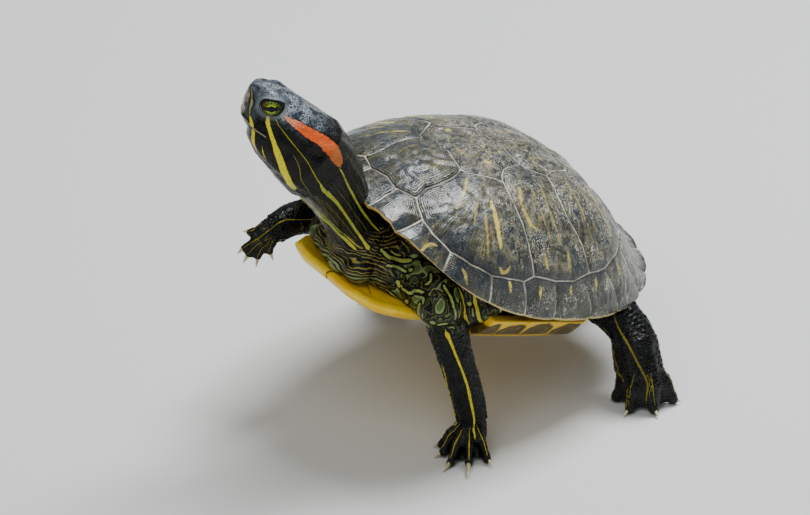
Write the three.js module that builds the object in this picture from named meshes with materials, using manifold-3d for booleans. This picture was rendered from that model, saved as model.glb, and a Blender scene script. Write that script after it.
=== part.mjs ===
// A red-eared slider turtle at life size: a still, museum-type model that stands on three feet,
// with its neck raised and its right forefoot lifted. Millimetres, +Z up, +X along the animal's
// heading, +Y to its left. The origin is on the floor, under the middle of the bounding box.
//
// The shell is modelled in its own level frame, with its length along X, and then turned by the
// pitch and roll that the raised front and the lower left side give it. The soft body is lofted as
// round forms, joined into one solid, cleared of the shell by a thin gap and parted by thin cuts.

import * as THREE from 'three';
import { LoftGeometry } from 'three/addons/geometries/LoftGeometry.js';
import { mergeVertices } from 'three/addons/utils/BufferGeometryUtils.js';
import Module from 'manifold-3d';

const wasm = await Module();
wasm.setup();

const { degToRad, lerp } = THREE.MathUtils;
const vec = (x, y, z) => new THREE.Vector3(x, y, z);
const UP = vec(0, 0, 1);
const FORWARD = vec(1, 0, 0);

// ---------------------------------------------------------------- driving dimensions

const CARAPACE_LENGTH = 150;
const SHELL_PITCH = degToRad(22);
const SHELL_ROLL = degToRad(-10);
const FLOOR_LEVEL = -60; // below the middle of the shell's rim, before the origin moves to the floor
const GAP = 0.3;
const MERGE_DISTANCE = 1e-4;

// ---------------------------------------------------------------- solids and cuts

// A closed geometry becomes a solid once its shared vertices are merged.
function solid(geometry) {
  const bare = new THREE.BufferGeometry();
  bare.setAttribute('position', geometry.attributes.position);
  bare.setIndex(geometry.index);
  const merged = mergeVertices(bare, MERGE_DISTANCE);
  return new wasm.Manifold(new wasm.Mesh({
    numProp: 3,
    vertProperties: new Float32Array(merged.attributes.position.array),
    triVerts: new Uint32Array(merged.index.array),
  }));
}

const joined = (solids) => solids.reduce((whole, next) => whole.add(next));
const cleared = (body, cutters) => cutters.reduce((left, cutter) => left.subtract(cutter), body);

// A solid that thin cuts have parted comes back as one geometry for each separate piece.
function pieces(body) {
  const mesh = body.getMesh();
  const owner = Array.from({ length: mesh.vertProperties.length / mesh.numProp }, (_, i) => i);
  const rootOf = (vertex) => {
    let root = vertex;
    while (owner[root] !== root) {
      root = owner[root];
    }
    owner[vertex] = root;
    return root;
  };
  const corners = Array.from(mesh.triVerts);
  for (let i = 0; i < corners.length; i += 3) {
    owner[rootOf(corners[i + 1])] = rootOf(corners[i]);
    owner[rootOf(corners[i + 2])] = rootOf(corners[i]);
  }
  const pointsOf = new Map();
  corners.forEach((vertex) => {
    const root = rootOf(vertex);
    const start = vertex * mesh.numProp;
    if (!pointsOf.has(root)) {
      pointsOf.set(root, []);
    }
    pointsOf.get(root).push(...mesh.vertProperties.subarray(start, start + 3));
  });
  return [...pointsOf.values()].map((points) => {
    const loose = new THREE.BufferGeometry();
    loose.setAttribute('position', new THREE.Float32BufferAttribute(points, 3));
    const merged = mergeVertices(loose, MERGE_DISTANCE);
    merged.computeVertexNormals();
    return merged;
  });
}

function middleOf({ attributes: { position } }) {
  const sum = vec(0, 0, 0);
  for (let i = 0; i < position.count; i += 1) {
    sum.add(vec(0, 0, 0).fromBufferAttribute(position, i));
  }
  return sum.divideScalar(position.count);
}

// The piece whose middle lies nearest to a place.
function nearest(found, place) {
  const distance = (geometry) => middleOf(geometry).distanceTo(place);
  return found.reduce((best, next) => (distance(next) < distance(best) ? next : best));
}

// A thin plate that parts a limb: its middle, the way the limb runs there, and the plate's width.
function cut(middle, way, width) {
  const plate = new THREE.BoxGeometry(width, width, GAP);
  plate.applyQuaternion(new THREE.Quaternion().setFromUnitVectors(UP, way.clone().normalize()));
  plate.translate(middle.x, middle.y, middle.z);
  return solid(plate);
}

// ---------------------------------------------------------------- round tapering forms

// A loft along a smooth spine through stations of [middle, half width, half height]. The height
// leans towards the given direction. A boxiness over 1 makes the section squarer.
function tapered(stations, { around, along, towards = UP, boxiness = 1 }) {
  const spine = new THREE.CatmullRomCurve3(stations.map((station) => station[0]));
  const girth = new THREE.SplineCurve(stations.map((station) => new THREE.Vector2(station[1], station[2])));
  const bulge = (value) => Math.sign(value) * Math.abs(value) ** (1 / boxiness);
  const sections = [];
  for (let i = 0; i <= along; i += 1) {
    const middle = spine.getPoint(i / along);
    const ahead = spine.getTangent(i / along);
    const half = girth.getPoint(i / along);
    const side = towards.clone().cross(ahead).normalize();
    const top = ahead.clone().cross(side);
    sections.push(ring(around, (turn) => middle.clone()
      .addScaledVector(side, half.x * bulge(Math.cos(turn)))
      .addScaledVector(top, half.y * bulge(Math.sin(turn)))));
  }
  return solid(new LoftGeometry(sections, { capStart: true, capEnd: true }));
}

function ring(count, place) {
  return Array.from({ length: count }, (_, i) => place((i / count) * 2 * Math.PI));
}

// ---------------------------------------------------------------- shell form

const SHELL = {
  halfLength: CARAPACE_LENGTH * 0.5,
  halfWidth: CARAPACE_LENGTH * 0.384,
  domeHeight: CARAPACE_LENGTH * 0.289,
  frontRimRise: CARAPACE_LENGTH * 0.146,
  rearRimRise: CARAPACE_LENGTH * 0.082,
  topForward: CARAPACE_LENGTH * 0.03,
  rimRoundness: 0.828,
  frontNarrowing: 0.05,
  domeRoundness: 2.56,
  sideFlare: 0.63,
  frontFlare: 1.42,
  frontFlareReach: 3.8,
  rearFlare: 1.78,
  rearFlareReach: 2.7,
  plateThickness: 3,
  rimEdge: 0.6,
};

const OUTSIDE_AROUND = 34;
const OUTSIDE_SHARES = [0.14, 0.42, 0.64, 0.8, 0.92, 1];
const INSIDE_AROUND = 24;
const INSIDE_SHARES = [0.2, 0.64, 0.88, 1];
const TRUNK_AROUND = 14;
const TRUNK_CLEARANCE = 4;

const shellTurn = new THREE.Matrix4().makeRotationFromEuler(
  new THREE.Euler(SHELL_ROLL, -SHELL_PITCH, 0, 'YXZ'),
);

const power = (value, exponent) => Math.sign(value) * Math.abs(value) ** exponent;

// A point of the carapace's outer face: share runs from the top (0) to the rim (1).
function carapacePoint(share, turn) {
  const ahead = Math.cos(turn);
  const rimX = SHELL.halfLength * power(ahead, SHELL.rimRoundness);
  const narrowing = 1 - SHELL.frontNarrowing * ahead;
  const rimY = SHELL.halfWidth * narrowing * power(Math.sin(turn), SHELL.rimRoundness);
  const rimZ = (ahead > 0 ? SHELL.frontRimRise : SHELL.rearRimRise) * ahead ** 2;
  const flare = ahead > 0
    ? lerp(SHELL.sideFlare, SHELL.frontFlare, ahead ** SHELL.frontFlareReach)
    : lerp(SHELL.sideFlare, SHELL.rearFlare, (-ahead) ** SHELL.rearFlareReach);
  const rise = (1 - share ** SHELL.domeRoundness) ** flare;
  return vec(lerp(SHELL.topForward, rimX, share), rimY * share, lerp(rimZ, SHELL.domeHeight, rise));
}

// The same point, moved in from the outer face by a depth.
function underCarapace(share, turn, depth) {
  const shrink = 1 - depth / SHELL.halfWidth;
  return carapacePoint(share, turn).multiply(vec(shrink, shrink, 1)).sub(vec(0, 0, depth));
}

function loftDownwards(sections) {
  const windings = sections.map((section) => section.reverse());
  return solid(new LoftGeometry(windings, { capStart: true, capEnd: true }));
}

// The bony dome: all that is under its outer face, less all that is under its inner face.
function carapace(clearance) {
  const depth = SHELL.plateThickness + clearance;
  const lowered = (layer, drop) => ring(
    OUTSIDE_AROUND,
    (turn) => underCarapace(1, turn, layer).sub(vec(0, 0, drop)),
  );
  const outside = loftDownwards([
    ...OUTSIDE_SHARES.map(
      (share) => ring(OUTSIDE_AROUND, (turn) => underCarapace(share, turn, -clearance)),
    ),
    lowered(-clearance, SHELL.rimEdge + 2 * clearance),
    lowered(SHELL.plateThickness - SHELL.rimEdge, 2 * clearance),
  ]);
  const inside = loftDownwards([
    ...INSIDE_SHARES.map(
      (share) => ring(INSIDE_AROUND, (turn) => underCarapace(share, turn, depth)),
    ),
    ring(INSIDE_AROUND, (turn) => underCarapace(1, turn, depth).setZ(-CARAPACE_LENGTH)),
  ]);
  return outside.subtract(inside);
}

// ---------------------------------------------------------------- carapace scutes

// A place on the shell seen from above, in shares of the carapace length.
const at = (x, y) => new THREE.Vector2(x, y).multiplyScalar(CARAPACE_LENGTH);

// Seams of the left side, from the front to the rear. The right side mirrors them.
const MARGINAL_SEAM = [
  at(0.4, 0), at(0.406, 0.05), at(0.381, 0.111), at(0.4, 0.165), at(0.358, 0.248), at(0.25, 0.322),
  at(0.124, 0.345), at(0.04, 0.352), at(-0.087, 0.339), at(-0.145, 0.328), at(-0.215, 0.29),
  at(-0.285, 0.235), at(-0.36, 0.17), at(-0.405, 0.1), at(-0.42, 0),
];
const VERTEBRAL_SEAM = [
  at(0.381, 0.111), at(0.3, 0.1), at(0.241, 0.08), at(0.149, 0.148), at(0.041, 0.092), at(-0.037, 0.134),
  at(-0.15, 0.095), at(-0.235, 0.12), at(-0.305, 0.06), at(-0.36, 0.17),
];
const CROSS_SEAMS = [
  [at(0.241, 0.08), at(0.241, 0)],
  [at(0.041, 0.092), at(0.041, 0)],
  [at(-0.15, 0.095), at(-0.15, 0)],
  [at(-0.305, 0.06), at(-0.305, 0)],
  [at(0.149, 0.148), at(0.124, 0.345)],
  [at(-0.037, 0.134), at(-0.033, 0.26), at(-0.087, 0.339)],
  [at(-0.235, 0.12), at(-0.285, 0.235)],
];
const NUCHAL_SEAM = [at(0.395, 0.03), at(0.52, 0.03)];
const REAR_SEAM = [at(-0.42, 0), at(-0.52, 0)];

// Thin upright walls along a seam part the shell into its scutes.
function seamWalls(seam, side) {
  return seam.slice(1).map((to, i) => {
    const from = seam[i];
    const wall = new THREE.BoxGeometry(from.distanceTo(to) + GAP, GAP, CARAPACE_LENGTH);
    wall.rotateZ(Math.atan2((to.y - from.y) * side, to.x - from.x));
    wall.translate((from.x + to.x) / 2, ((from.y + to.y) / 2) * side, 0);
    return solid(wall);
  });
}

const bothSides = (seams) => seams.flatMap((seam) => [...seamWalls(seam, 1), ...seamWalls(seam, -1)]);

function scutes() {
  const walls = bothSides([MARGINAL_SEAM, VERTEBRAL_SEAM, NUCHAL_SEAM, ...CROSS_SEAMS]);
  return pieces(cleared(carapace(0), [...walls, ...seamWalls(REAR_SEAM, 1)]));
}

// ---------------------------------------------------------------- plastron and bridge

const PLASTRON = {
  level: -13.6,
  thickness: 5,
  edgeRound: 1.8,
  bridgeFront: CARAPACE_LENGTH * 0.19,
  bridgeRear: -CARAPACE_LENGTH * 0.19,
};

// The left half seen from above: gular lip, front lobe, bridge, rear lobe and anal notch.
const PLASTRON_HALF = [
  at(0.462, 0), at(0.464, 0.09), at(0.444, 0.142), at(0.375, 0.178), at(0.28, 0.2), at(0.215, 0.215),
  at(0.18, 0.27), at(-0.18, 0.27), at(-0.225, 0.2), at(-0.3, 0.19), at(-0.38, 0.15),
  at(-0.435, 0.085), at(-0.41, 0),
];

function plastronPlate(clearance) {
  const inset = PLASTRON.edgeRound - clearance;
  const left = PLASTRON_HALF.map((place) => place.clone().setLength(place.length() - inset));
  const right = left.slice(1, -1).reverse().map((place) => new THREE.Vector2(place.x, -place.y));
  const plate = new THREE.ExtrudeGeometry(new THREE.Shape([...left, ...right].reverse()), {
    depth: PLASTRON.thickness - 2 * inset,
    bevelThickness: PLASTRON.edgeRound,
    bevelSize: PLASTRON.edgeRound,
    bevelSegments: 1,
  });
  return solid(plate.translate(0, 0, PLASTRON.level - PLASTRON.thickness + inset));
}

// The bridge curves up from the plastron's edge to the under side of the marginals.
const BRIDGE = {
  inner: 34,
  foot: 40,
  footRise: 1.5,
  knee: 48,
  kneeRise: 6.5,
  outer: 52.5,
  shelf: 47.5,
  top: -4,
  hollowRise: 9,
  wall: 4,
};

function bridge(side, clearance) {
  const bottom = PLASTRON.level - PLASTRON.thickness;
  const profile = [
    [BRIDGE.inner, bottom - clearance],
    [BRIDGE.foot, bottom + BRIDGE.footRise - clearance],
    [BRIDGE.knee + clearance, bottom + BRIDGE.kneeRise - clearance],
    [BRIDGE.outer + clearance, BRIDGE.top + clearance],
    [BRIDGE.shelf - clearance, BRIDGE.top + clearance],
    [BRIDGE.knee - BRIDGE.wall - clearance, bottom + BRIDGE.hollowRise + clearance],
    [BRIDGE.inner, PLASTRON.level + clearance],
  ].map(([y, z]) => new THREE.Vector2(y * side, z));
  const wall = new THREE.ExtrudeGeometry(new THREE.Shape(profile), {
    depth: PLASTRON.bridgeFront - PLASTRON.bridgeRear + 2 * clearance,
    bevelEnabled: false,
  });
  wall.applyMatrix4(new THREE.Matrix4().makeBasis(vec(0, 1, 0), vec(0, 0, 1), vec(1, 0, 0)));
  return solid(wall.translate(PLASTRON.bridgeRear - clearance, 0, 0));
}

const plastron = (clearance) => joined([
  plastronPlate(clearance),
  bridge(1, clearance),
  bridge(-1, clearance),
]);

const PLASTRON_SEAMS = [
  [at(0.06, 0.4), at(0.06, 0)],
  [at(-0.17, 0.4), at(-0.17, 0)],
];
const PLASTRON_MIDLINE = [at(0.5, 0), at(-0.5, 0)];

const plastronPieces = () => pieces(
  cleared(plastron(0), [...bothSides(PLASTRON_SEAMS), ...seamWalls(PLASTRON_MIDLINE, 1)]),
);

// ---------------------------------------------------------------- trunk inside the shell

// The trunk fills the shell, and its front skin swells out over the lip of the plastron.
function trunk() {
  const depth = SHELL.plateThickness + TRUNK_CLEARANCE;
  const floor = PLASTRON.level + 2 * GAP;
  const wall = (level, front, side, rear) => ring(TRUNK_AROUND, (turn) => {
    const ahead = Math.cos(turn);
    const share = lerp(side, ahead > 0 ? front : rear, ahead ** 2);
    return underCarapace(share, turn, depth).setZ(level);
  });
  return loftDownwards([
    ...[0.2, 0.6].map((share) => ring(TRUNK_AROUND, (turn) => underCarapace(share, turn, depth))),
    wall(8, 0.76, 0.78, 0.74),
    wall(-2, 0.84, 0.76, 0.8),
    wall(floor + 3, 0.88, 0.7, 0.82),
    wall(floor, 0.86, 0.68, 0.8),
  ]);
}

// ---------------------------------------------------------------- head and neck

const HEAD = {
  between: vec(91.9, -8.6, 96.9), // half way between the eyes
  yaw: degToRad(-44),
  pitch: degToRad(36),
  mouthLevel: -12.6,
  jawJoint: -15,
};

const headFrame = new THREE.Matrix4()
  .makeRotationFromEuler(new THREE.Euler(0, -HEAD.pitch, HEAD.yaw, 'ZYX'))
  .setPosition(HEAD.between);

// A place on the head: ahead of the eyes, to the left, and above them.
const onHead = (ahead, left, above) => vec(ahead, left, above).applyMatrix4(headFrame);

const NECK_AND_HEAD = [
  [vec(46, 0, 12), 13, 13],
  [vec(54, 0, 24), 12.5, 12.5],
  [vec(59.3, 0, 34.4), 10, 10],
  [vec(65.1, 0.5, 45.7), 10.9, 10.9],
  [vec(71.8, 1, 57.8), 13.2, 13.2],
  [vec(80.3, 0, 71.3), 14.7, 14.7],
  [onHead(-16, 0, -9.2), 13.6, 13.4],
  [onHead(-8, 0, -7.4), 11.6, 12],
  [onHead(0, 0, -5.8), 9, 10.6],
  [onHead(4.6, 0, -6.1), 7, 9.2],
  [onHead(7.6, 0, -6.3), 4.7, 7.1],
  [onHead(9, 0, -6.8), 2.4, 3.8],
];

const EYE = { radius: 4.3, ahead: 0.2, out: 4.7, above: 0 };

function eyeBall(side, clearance) {
  const place = onHead(EYE.ahead, EYE.out * side, EYE.above);
  return new THREE.SphereGeometry(EYE.radius + clearance, 9, 7).translate(place.x, place.y, place.z);
}

// The mouth line and the cut below the jaw joint part the lower jaw from the head.
function jawCuts() {
  const reach = 40;
  const line = new THREE.BoxGeometry(reach, reach, GAP);
  line.translate(HEAD.jawJoint + reach / 2, 0, HEAD.mouthLevel);
  const behind = new THREE.BoxGeometry(GAP, reach, reach);
  behind.translate(HEAD.jawJoint, 0, HEAD.mouthLevel - reach / 2);
  return [line, behind].map((plate) => solid(plate.applyMatrix4(headFrame)));
}

// ---------------------------------------------------------------- tail

const TAIL = [
  [vec(-40, -1, -18), 8, 7.5],
  [vec(-57, -1, -27.5), 6, 5.6],
  [vec(-70, -2, -36.5), 4.2, 3.9],
  [vec(-82, -4, -43.5), 2.6, 2.4],
  [vec(-91, -7, -47.5), 0.9, 0.8],
];

// ---------------------------------------------------------------- legs, feet and claws

// Each leg: its stations from the body down, where it is parted (with the way it runs there), the
// middle of its foot, and the tips of its toes from the inner one to the outer one.
const LEGS = {
  front_left: {
    towards: FORWARD,
    stations: [
      [vec(34, 24, 10), 10.5, 10.5], [vec(43, 34, 4), 9.2, 9.2], [vec(44.6, 39, -6), 7.2, 7.6],
      [vec(42, 40.5, -18), 6.3, 6.6], [vec(38, 41, -32), 6.3, 6.5], [vec(34.8, 41.5, -46), 6.6, 6],
      [vec(36, 42.5, -54), 7.4, 5.4], [vec(38, 43.5, -58.5), 6.4, 4.4],
    ],
    parts: [[vec(44.2, 37.5, -2.5), vec(0.1, 0.35, -1)], [vec(42.6, 40.3, -16), vec(-0.2, 0.1, -1)],
      [vec(35, 41.4, -45), vec(-0.2, 0, -1)]],
    names: ['upper_arm', 'forearm', 'forefoot'],
    foot: vec(37, 43, -57.2),
    toes: [
      vec(43.5, 33.5, -58), vec(47.5, 38.5, -58), vec(50.5, 46, -58), vec(46, 51.5, -58),
      vec(38.5, 54, -58),
    ],
    toeGirth: 2.3,
    clawLengths: [3.5, 4, 5.5, 8.5, 4],
  },
  front_right: {
    towards: UP,
    stations: [
      [vec(30, -24, 14), 10, 10], [vec(39, -34.5, 13), 7.8, 8], [vec(46, -39, 13.2), 6.4, 6.8],
      [vec(53, -39.5, 14.2), 6, 6.4], [vec(59, -40, 13.4), 5.2, 6], [vec(64.5, -41.5, 11.2), 4.6, 6.4],
      [vec(67.5, -42.5, 9.4), 3.6, 5],
    ],
    parts: [[vec(44.5, -38.4, 13.1), vec(1, -0.5, 0)], [vec(52.5, -39.5, 14.1), vec(1, 0, 0.1)],
      [vec(60.5, -40.4, 13), vec(1, -0.2, -0.3)]],
    names: ['upper_arm', 'forearm', 'forefoot'],
    foot: vec(65.5, -42, 10.4),
    toes: [
      vec(69, -45.6, 12.6), vec(71.8, -45.4, 6.8), vec(71, -43.6, 4.6), vec(68.4, -41.4, 3.4),
      vec(64.6, -39, 5),
    ],
    toeGirth: 2.1,
    clawLengths: [3, 3.5, 4, 4, 3.5],
  },
  hind_left: {
    towards: FORWARD,
    stations: [
      [vec(-30, 20, -14), 12, 12], [vec(-35, 38, -22), 10, 9], [vec(-38.5, 50.5, -30.5), 8.4, 7.8],
      [vec(-37, 56.5, -36), 9.2, 9], [vec(-36.6, 58.6, -43), 9.8, 9], [vec(-36.4, 60.6, -51), 11, 8.4],
      [vec(-36.4, 62, -58.5), 9.8, 7],
    ],
    parts: [[vec(-35.8, 42, -23), vec(-0.25, 1, -0.5)], [vec(-38, 54.5, -33), vec(0.15, 0.5, -1)],
      [vec(-36.5, 59.4, -46), vec(0, 0.2, -1)]],
    names: ['thigh', 'shank', 'foot'],
    foot: vec(-36.6, 61.5, -57),
    toes: [
      vec(-29.5, 54, -57.8), vec(-27, 64, -57.8), vec(-33.5, 71, -57.8), vec(-44.5, 70.5, -57.8),
    ],
    toeGirth: 2.9,
    clawLengths: [3, 4, 4, 3],
  },
  hind_right: {
    towards: FORWARD,
    stations: [
      [vec(-30, -20, -6), 12, 12], [vec(-27, -38, -12), 10.5, 10], [vec(-22.5, -51, -21), 9.2, 8.8],
      [vec(-22, -56, -32), 9, 8.8], [vec(-24, -58, -43), 9.4, 8.6], [vec(-23.5, -60, -51), 10.4, 8.2],
      [vec(-22, -62, -58.5), 9.6, 6.8],
    ],
    parts: [[vec(-25.5, -42, -14.2), vec(0.3, -1, -0.6)], [vec(-22, -54, -27), vec(0.1, -0.4, -1)],
      [vec(-24, -58.7, -46), vec(0, -0.2, -1)]],
    names: ['thigh', 'shank', 'foot'],
    foot: vec(-22.5, -61.5, -57),
    toes: [
      vec(-13.5, -56.5, -57.8), vec(-12.5, -66.5, -57.8), vec(-18.5, -72.5, -57.8),
      vec(-29, -71.5, -57.8),
    ],
    toeGirth: 2.9,
    clawLengths: [3, 4, 4, 3],
  },
};

const CLAW_DROOP = 0.9;

function toe(foot, tip, girth) {
  const way = tip.clone().sub(foot);
  return tapered([
    [foot, girth * 1.15, girth * 1.05],
    [foot.clone().addScaledVector(way, 0.6), girth, girth * 0.95],
    [tip, girth * 0.62, girth * 0.58],
  ], { around: 6, along: 2 });
}

// A claw goes on from its toe's tip, bending down to its point.
function claw(foot, tip, length) {
  const way = tip.clone().sub(foot).normalize();
  const along = (distance, drop) => tip.clone().addScaledVector(way, distance).sub(vec(0, 0, drop));
  return tapered([
    [along(GAP, 0), 1, 1.15],
    [along(length * 0.5, CLAW_DROOP * 0.15), 0.8, 0.9],
    [along(length, CLAW_DROOP), 0.28, 0.28],
  ], { around: 5, along: 2 });
}

const legSolid = ({ towards, stations, foot, toes, toeGirth }) => joined([
  tapered(stations, { around: 10, along: 8, towards }),
  ...toes.map((tip) => toe(foot, tip, toeGirth)),
]);

// ---------------------------------------------------------------- the soft body, joined and parted

const turned = (body) => body.transform(shellTurn.elements);
const underFloor = new THREE.BoxGeometry(400, 400, 20).translate(0, 0, FLOOR_LEVEL - 10);

const softBody = joined([
  turned(trunk()),
  tapered(NECK_AND_HEAD, { around: 16, along: 17, boxiness: 1.12 }),
  tapered(TAIL, { around: 8, along: 5 }),
  ...Object.values(LEGS).map(legSolid),
]);

const BODY_CUTS = [
  cut(vec(62.5, 0.3, 41), vec(0.5, 0, 0.86), 34),
  cut(vec(71.8, 0.8, 57), vec(0.5, 0, 0.86), 40),
  cut(vec(82.5, -2, 75.5), vec(0.6, -0.35, 0.74), 46),
  cut(vec(-59, -1, -28.9), vec(0.83, 0, 0.56), 24),
];

const softPieces = pieces(cleared(softBody, [
  turned(carapace(GAP)),
  turned(plastron(GAP)),
  solid(underFloor),
  solid(eyeBall(1, GAP)),
  solid(eyeBall(-1, GAP)),
  ...jawCuts(),
  ...BODY_CUTS,
  ...Object.values(LEGS).flatMap(({ parts }) => parts.map(([middle, way]) => cut(middle, way, 27))),
]));

// ---------------------------------------------------------------- named parts and materials

const MATERIALS = {
  skin: { color: 0x2c3228, roughness: 0.55, metalness: 0 },
  scute: { color: 0x3c4344, roughness: 0.35, metalness: 0 },
  plastron: { color: 0xd79a1c, roughness: 0.35, metalness: 0 },
  eye: { color: 0x8c9a33, roughness: 0.12, metalness: 0 },
  claw: { color: 0xb9a878, roughness: 0.4, metalness: 0 },
};

function part(name, geometry, material) {
  const mesh = new THREE.Mesh(geometry, new THREE.MeshStandardMaterial(MATERIALS[material]));
  mesh.name = name;
  return mesh;
}

const between = (from, to) => from.clone().lerp(to, 0.5);

const SOFT_PLACES = {
  trunk: vec(0, 0, 0),
  neck_lower: vec(67, 1, 49),
  neck_upper: vec(77, 0, 66),
  head: onHead(-4, 0, -4),
  lower_jaw: onHead(-4, 0, -18),
  tail: vec(-75, -3, -38),
};
Object.entries(LEGS).forEach(([leg, { names, parts, foot }]) => {
  SOFT_PLACES[`${leg}_${names[0]}`] = between(parts[0][0], parts[1][0]);
  SOFT_PLACES[`${leg}_${names[1]}`] = between(parts[1][0], parts[2][0]);
  SOFT_PLACES[`${leg}_${names[2]}`] = foot;
});

// Places on the shell, in shares of its length; the left ones are mirrored to the right.
const SCUTE_PLACES = {
  nuchal: at(0.45, 0),
  vertebral_1: at(0.32, 0),
  vertebral_2: at(0.14, 0),
  vertebral_3: at(-0.05, 0),
  vertebral_4: at(-0.22, 0),
  vertebral_5: at(-0.38, 0),
};
const SIDED_SCUTE_PLACES = {
  costal_1: at(0.24, 0.22),
  costal_2: at(0.04, 0.24),
  costal_3: at(-0.14, 0.22),
  costal_4: at(-0.31, 0.14),
  marginals: at(-0.1, 0.5),
};
const PLASTRON_PLACES = {
  plastron_front: at(0.28, 0.12),
  plastron_middle: at(-0.06, 0.2),
  plastron_rear: at(-0.32, 0.1),
};

const level = ({ x, y }, side) => vec(x, y * side, 0);
const flat = (geometry) => geometry.clone().applyMatrix4(new THREE.Matrix4().makeScale(1, 1, 0));

function sidedPlaces(places) {
  return Object.fromEntries(Object.entries(places).flatMap(([name, place]) => [
    [`${name}_left`, level(place, 1)],
    [`${name}_right`, level(place, -1)],
  ]));
}

function named(found, places, material) {
  const outlines = found.map(flat);
  return Object.entries(places).map(([name, place]) => {
    const index = outlines.indexOf(nearest(outlines, place));
    return part(name, found[index], material);
  });
}

const middleScutes = Object.fromEntries(
  Object.entries(SCUTE_PLACES).map(([name, place]) => [name, level(place, 1)]),
);

const shell = new THREE.Group();
shell.setRotationFromMatrix(shellTurn);
shell.add(
  ...named(scutes(), { ...middleScutes, ...sidedPlaces(SIDED_SCUTE_PLACES) }, 'scute'),
  ...named(plastronPieces(), sidedPlaces(PLASTRON_PLACES), 'plastron'),
);

const turtle = new THREE.Group();
turtle.add(shell);
Object.entries(SOFT_PLACES).forEach(([name, place]) => {
  turtle.add(part(name, nearest(softPieces, place), 'skin'));
});
turtle.add(part('eye_left', eyeBall(1, 0), 'eye'));
turtle.add(part('eye_right', eyeBall(-1, 0), 'eye'));
Object.entries(LEGS).forEach(([leg, { foot, toes, clawLengths }]) => toes.forEach((tip, i) => {
  turtle.add(part(`${leg}_claw_${i + 1}`, pieces(claw(foot, tip, clawLengths[i]))[0], 'claw'));
}));

// The origin goes to the floor, under the middle of the bounding box.
const box = new THREE.Box3().setFromObject(turtle);
const middle = box.getCenter(vec(0, 0, 0));
turtle.position.set(-middle.x, -middle.y, -FLOOR_LEVEL);

export default turtle;
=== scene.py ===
import math

import bmesh
import bpy
import numpy as np
from mathutils import Matrix, Vector, kdtree, noise
from mathutils.bvhtree import BVHTree


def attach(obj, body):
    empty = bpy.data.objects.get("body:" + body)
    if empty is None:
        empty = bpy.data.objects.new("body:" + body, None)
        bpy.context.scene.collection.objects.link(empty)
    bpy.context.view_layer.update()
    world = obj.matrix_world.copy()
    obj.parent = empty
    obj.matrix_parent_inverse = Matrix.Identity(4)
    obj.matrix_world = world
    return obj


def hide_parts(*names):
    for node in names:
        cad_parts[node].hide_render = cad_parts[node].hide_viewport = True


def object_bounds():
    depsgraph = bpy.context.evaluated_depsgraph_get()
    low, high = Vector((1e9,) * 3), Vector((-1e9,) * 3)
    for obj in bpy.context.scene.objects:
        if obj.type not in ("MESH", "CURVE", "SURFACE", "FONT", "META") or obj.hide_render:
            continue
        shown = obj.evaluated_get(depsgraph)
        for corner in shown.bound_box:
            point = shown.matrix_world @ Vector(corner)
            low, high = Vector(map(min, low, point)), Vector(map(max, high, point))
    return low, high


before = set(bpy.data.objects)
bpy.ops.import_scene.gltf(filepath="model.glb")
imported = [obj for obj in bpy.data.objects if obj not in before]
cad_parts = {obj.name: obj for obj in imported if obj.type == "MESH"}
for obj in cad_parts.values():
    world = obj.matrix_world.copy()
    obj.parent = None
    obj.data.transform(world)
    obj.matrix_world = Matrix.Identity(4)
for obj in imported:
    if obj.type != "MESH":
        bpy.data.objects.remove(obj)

cad_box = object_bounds()

# ---------------------------------------------------------------- floor, camera and studio lights
# A plain pale floor under the animal, a long lens that looks down at it, a soft light overhead and
# two weaker ones that open up the shadows.
MM = 0.001


def in_scene(name, data):
    thing = bpy.data.objects.new(name, data)
    bpy.context.scene.collection.objects.link(thing)
    return thing


def mesh_of(work, name):
    """The mesh that a bmesh makes. The bmesh is freed."""
    mesh = bpy.data.meshes.new(name)
    work.to_mesh(mesh)
    work.free()
    return mesh


LENS, SENSOR = 800.0, 36.0
VIEW_WIDTH = 0.30797
SHARP_PLANE = 0.035
looked_at = Vector((12.09, -12.30, 54.77)) * MM
towards_camera = Vector((0.5968, 0.6276, 0.5)).normalized()
lens = bpy.data.cameras.new("lens")
lens.lens, lens.sensor_width = LENS, SENSOR
lens.clip_start, lens.clip_end = 0.1, 60.0
camera = in_scene("camera", lens)
camera.rotation_mode = "QUATERNION"
camera.location = looked_at + towards_camera * (VIEW_WIDTH * LENS / SENSOR + SHARP_PLANE)
camera.rotation_quaternion = (-towards_camera).to_track_quat("-Z", "Y")
bpy.context.scene.camera = camera

FLOOR_HALF = 6.0
square = bmesh.new()
bmesh.ops.create_grid(square, x_segments=1, y_segments=1, size=FLOOR_HALF)
floor = in_scene("floor", mesh_of(square, "floor"))
pale = bpy.data.materials.new("pale_floor")
pale.use_nodes = True
pale_surface = pale.node_tree.nodes["Principled BSDF"].inputs
pale_surface["Base Color"].default_value = (0.62, 0.63, 0.61, 1)
pale_surface["Roughness"].default_value = 0.8
floor.data.materials.append(pale)


def soft_light(name, place, width, watts, colour):
    lamp = bpy.data.lights.new(name, "AREA")
    lamp.size, lamp.energy, lamp.color = width, watts, colour
    holder = in_scene(name, lamp)
    holder.location = place
    holder.rotation_euler = (Vector((0, 0, 0.06)) - Vector(place)).to_track_quat("-Z", "Y").to_euler()


soft_light("overhead", (-0.46, -0.02, 1.12), 0.52, 24.0, (0.97, 0.99, 1.0))
soft_light("front_top", (0.75, 0.45, 1.20), 0.90, 8.0, (1.0, 0.985, 0.94))
soft_light("front_fill", (1.2, 0.9, 0.35), 0.9, 2.0, (0.96, 0.98, 1.0))
sky = bpy.data.worlds.new("sky")
sky.use_nodes = True
sky.node_tree.nodes["Background"].inputs["Color"].default_value = (0.80, 0.86, 0.92, 1)
sky.node_tree.nodes["Background"].inputs["Strength"].default_value = 0.30
bpy.context.scene.world = sky

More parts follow.
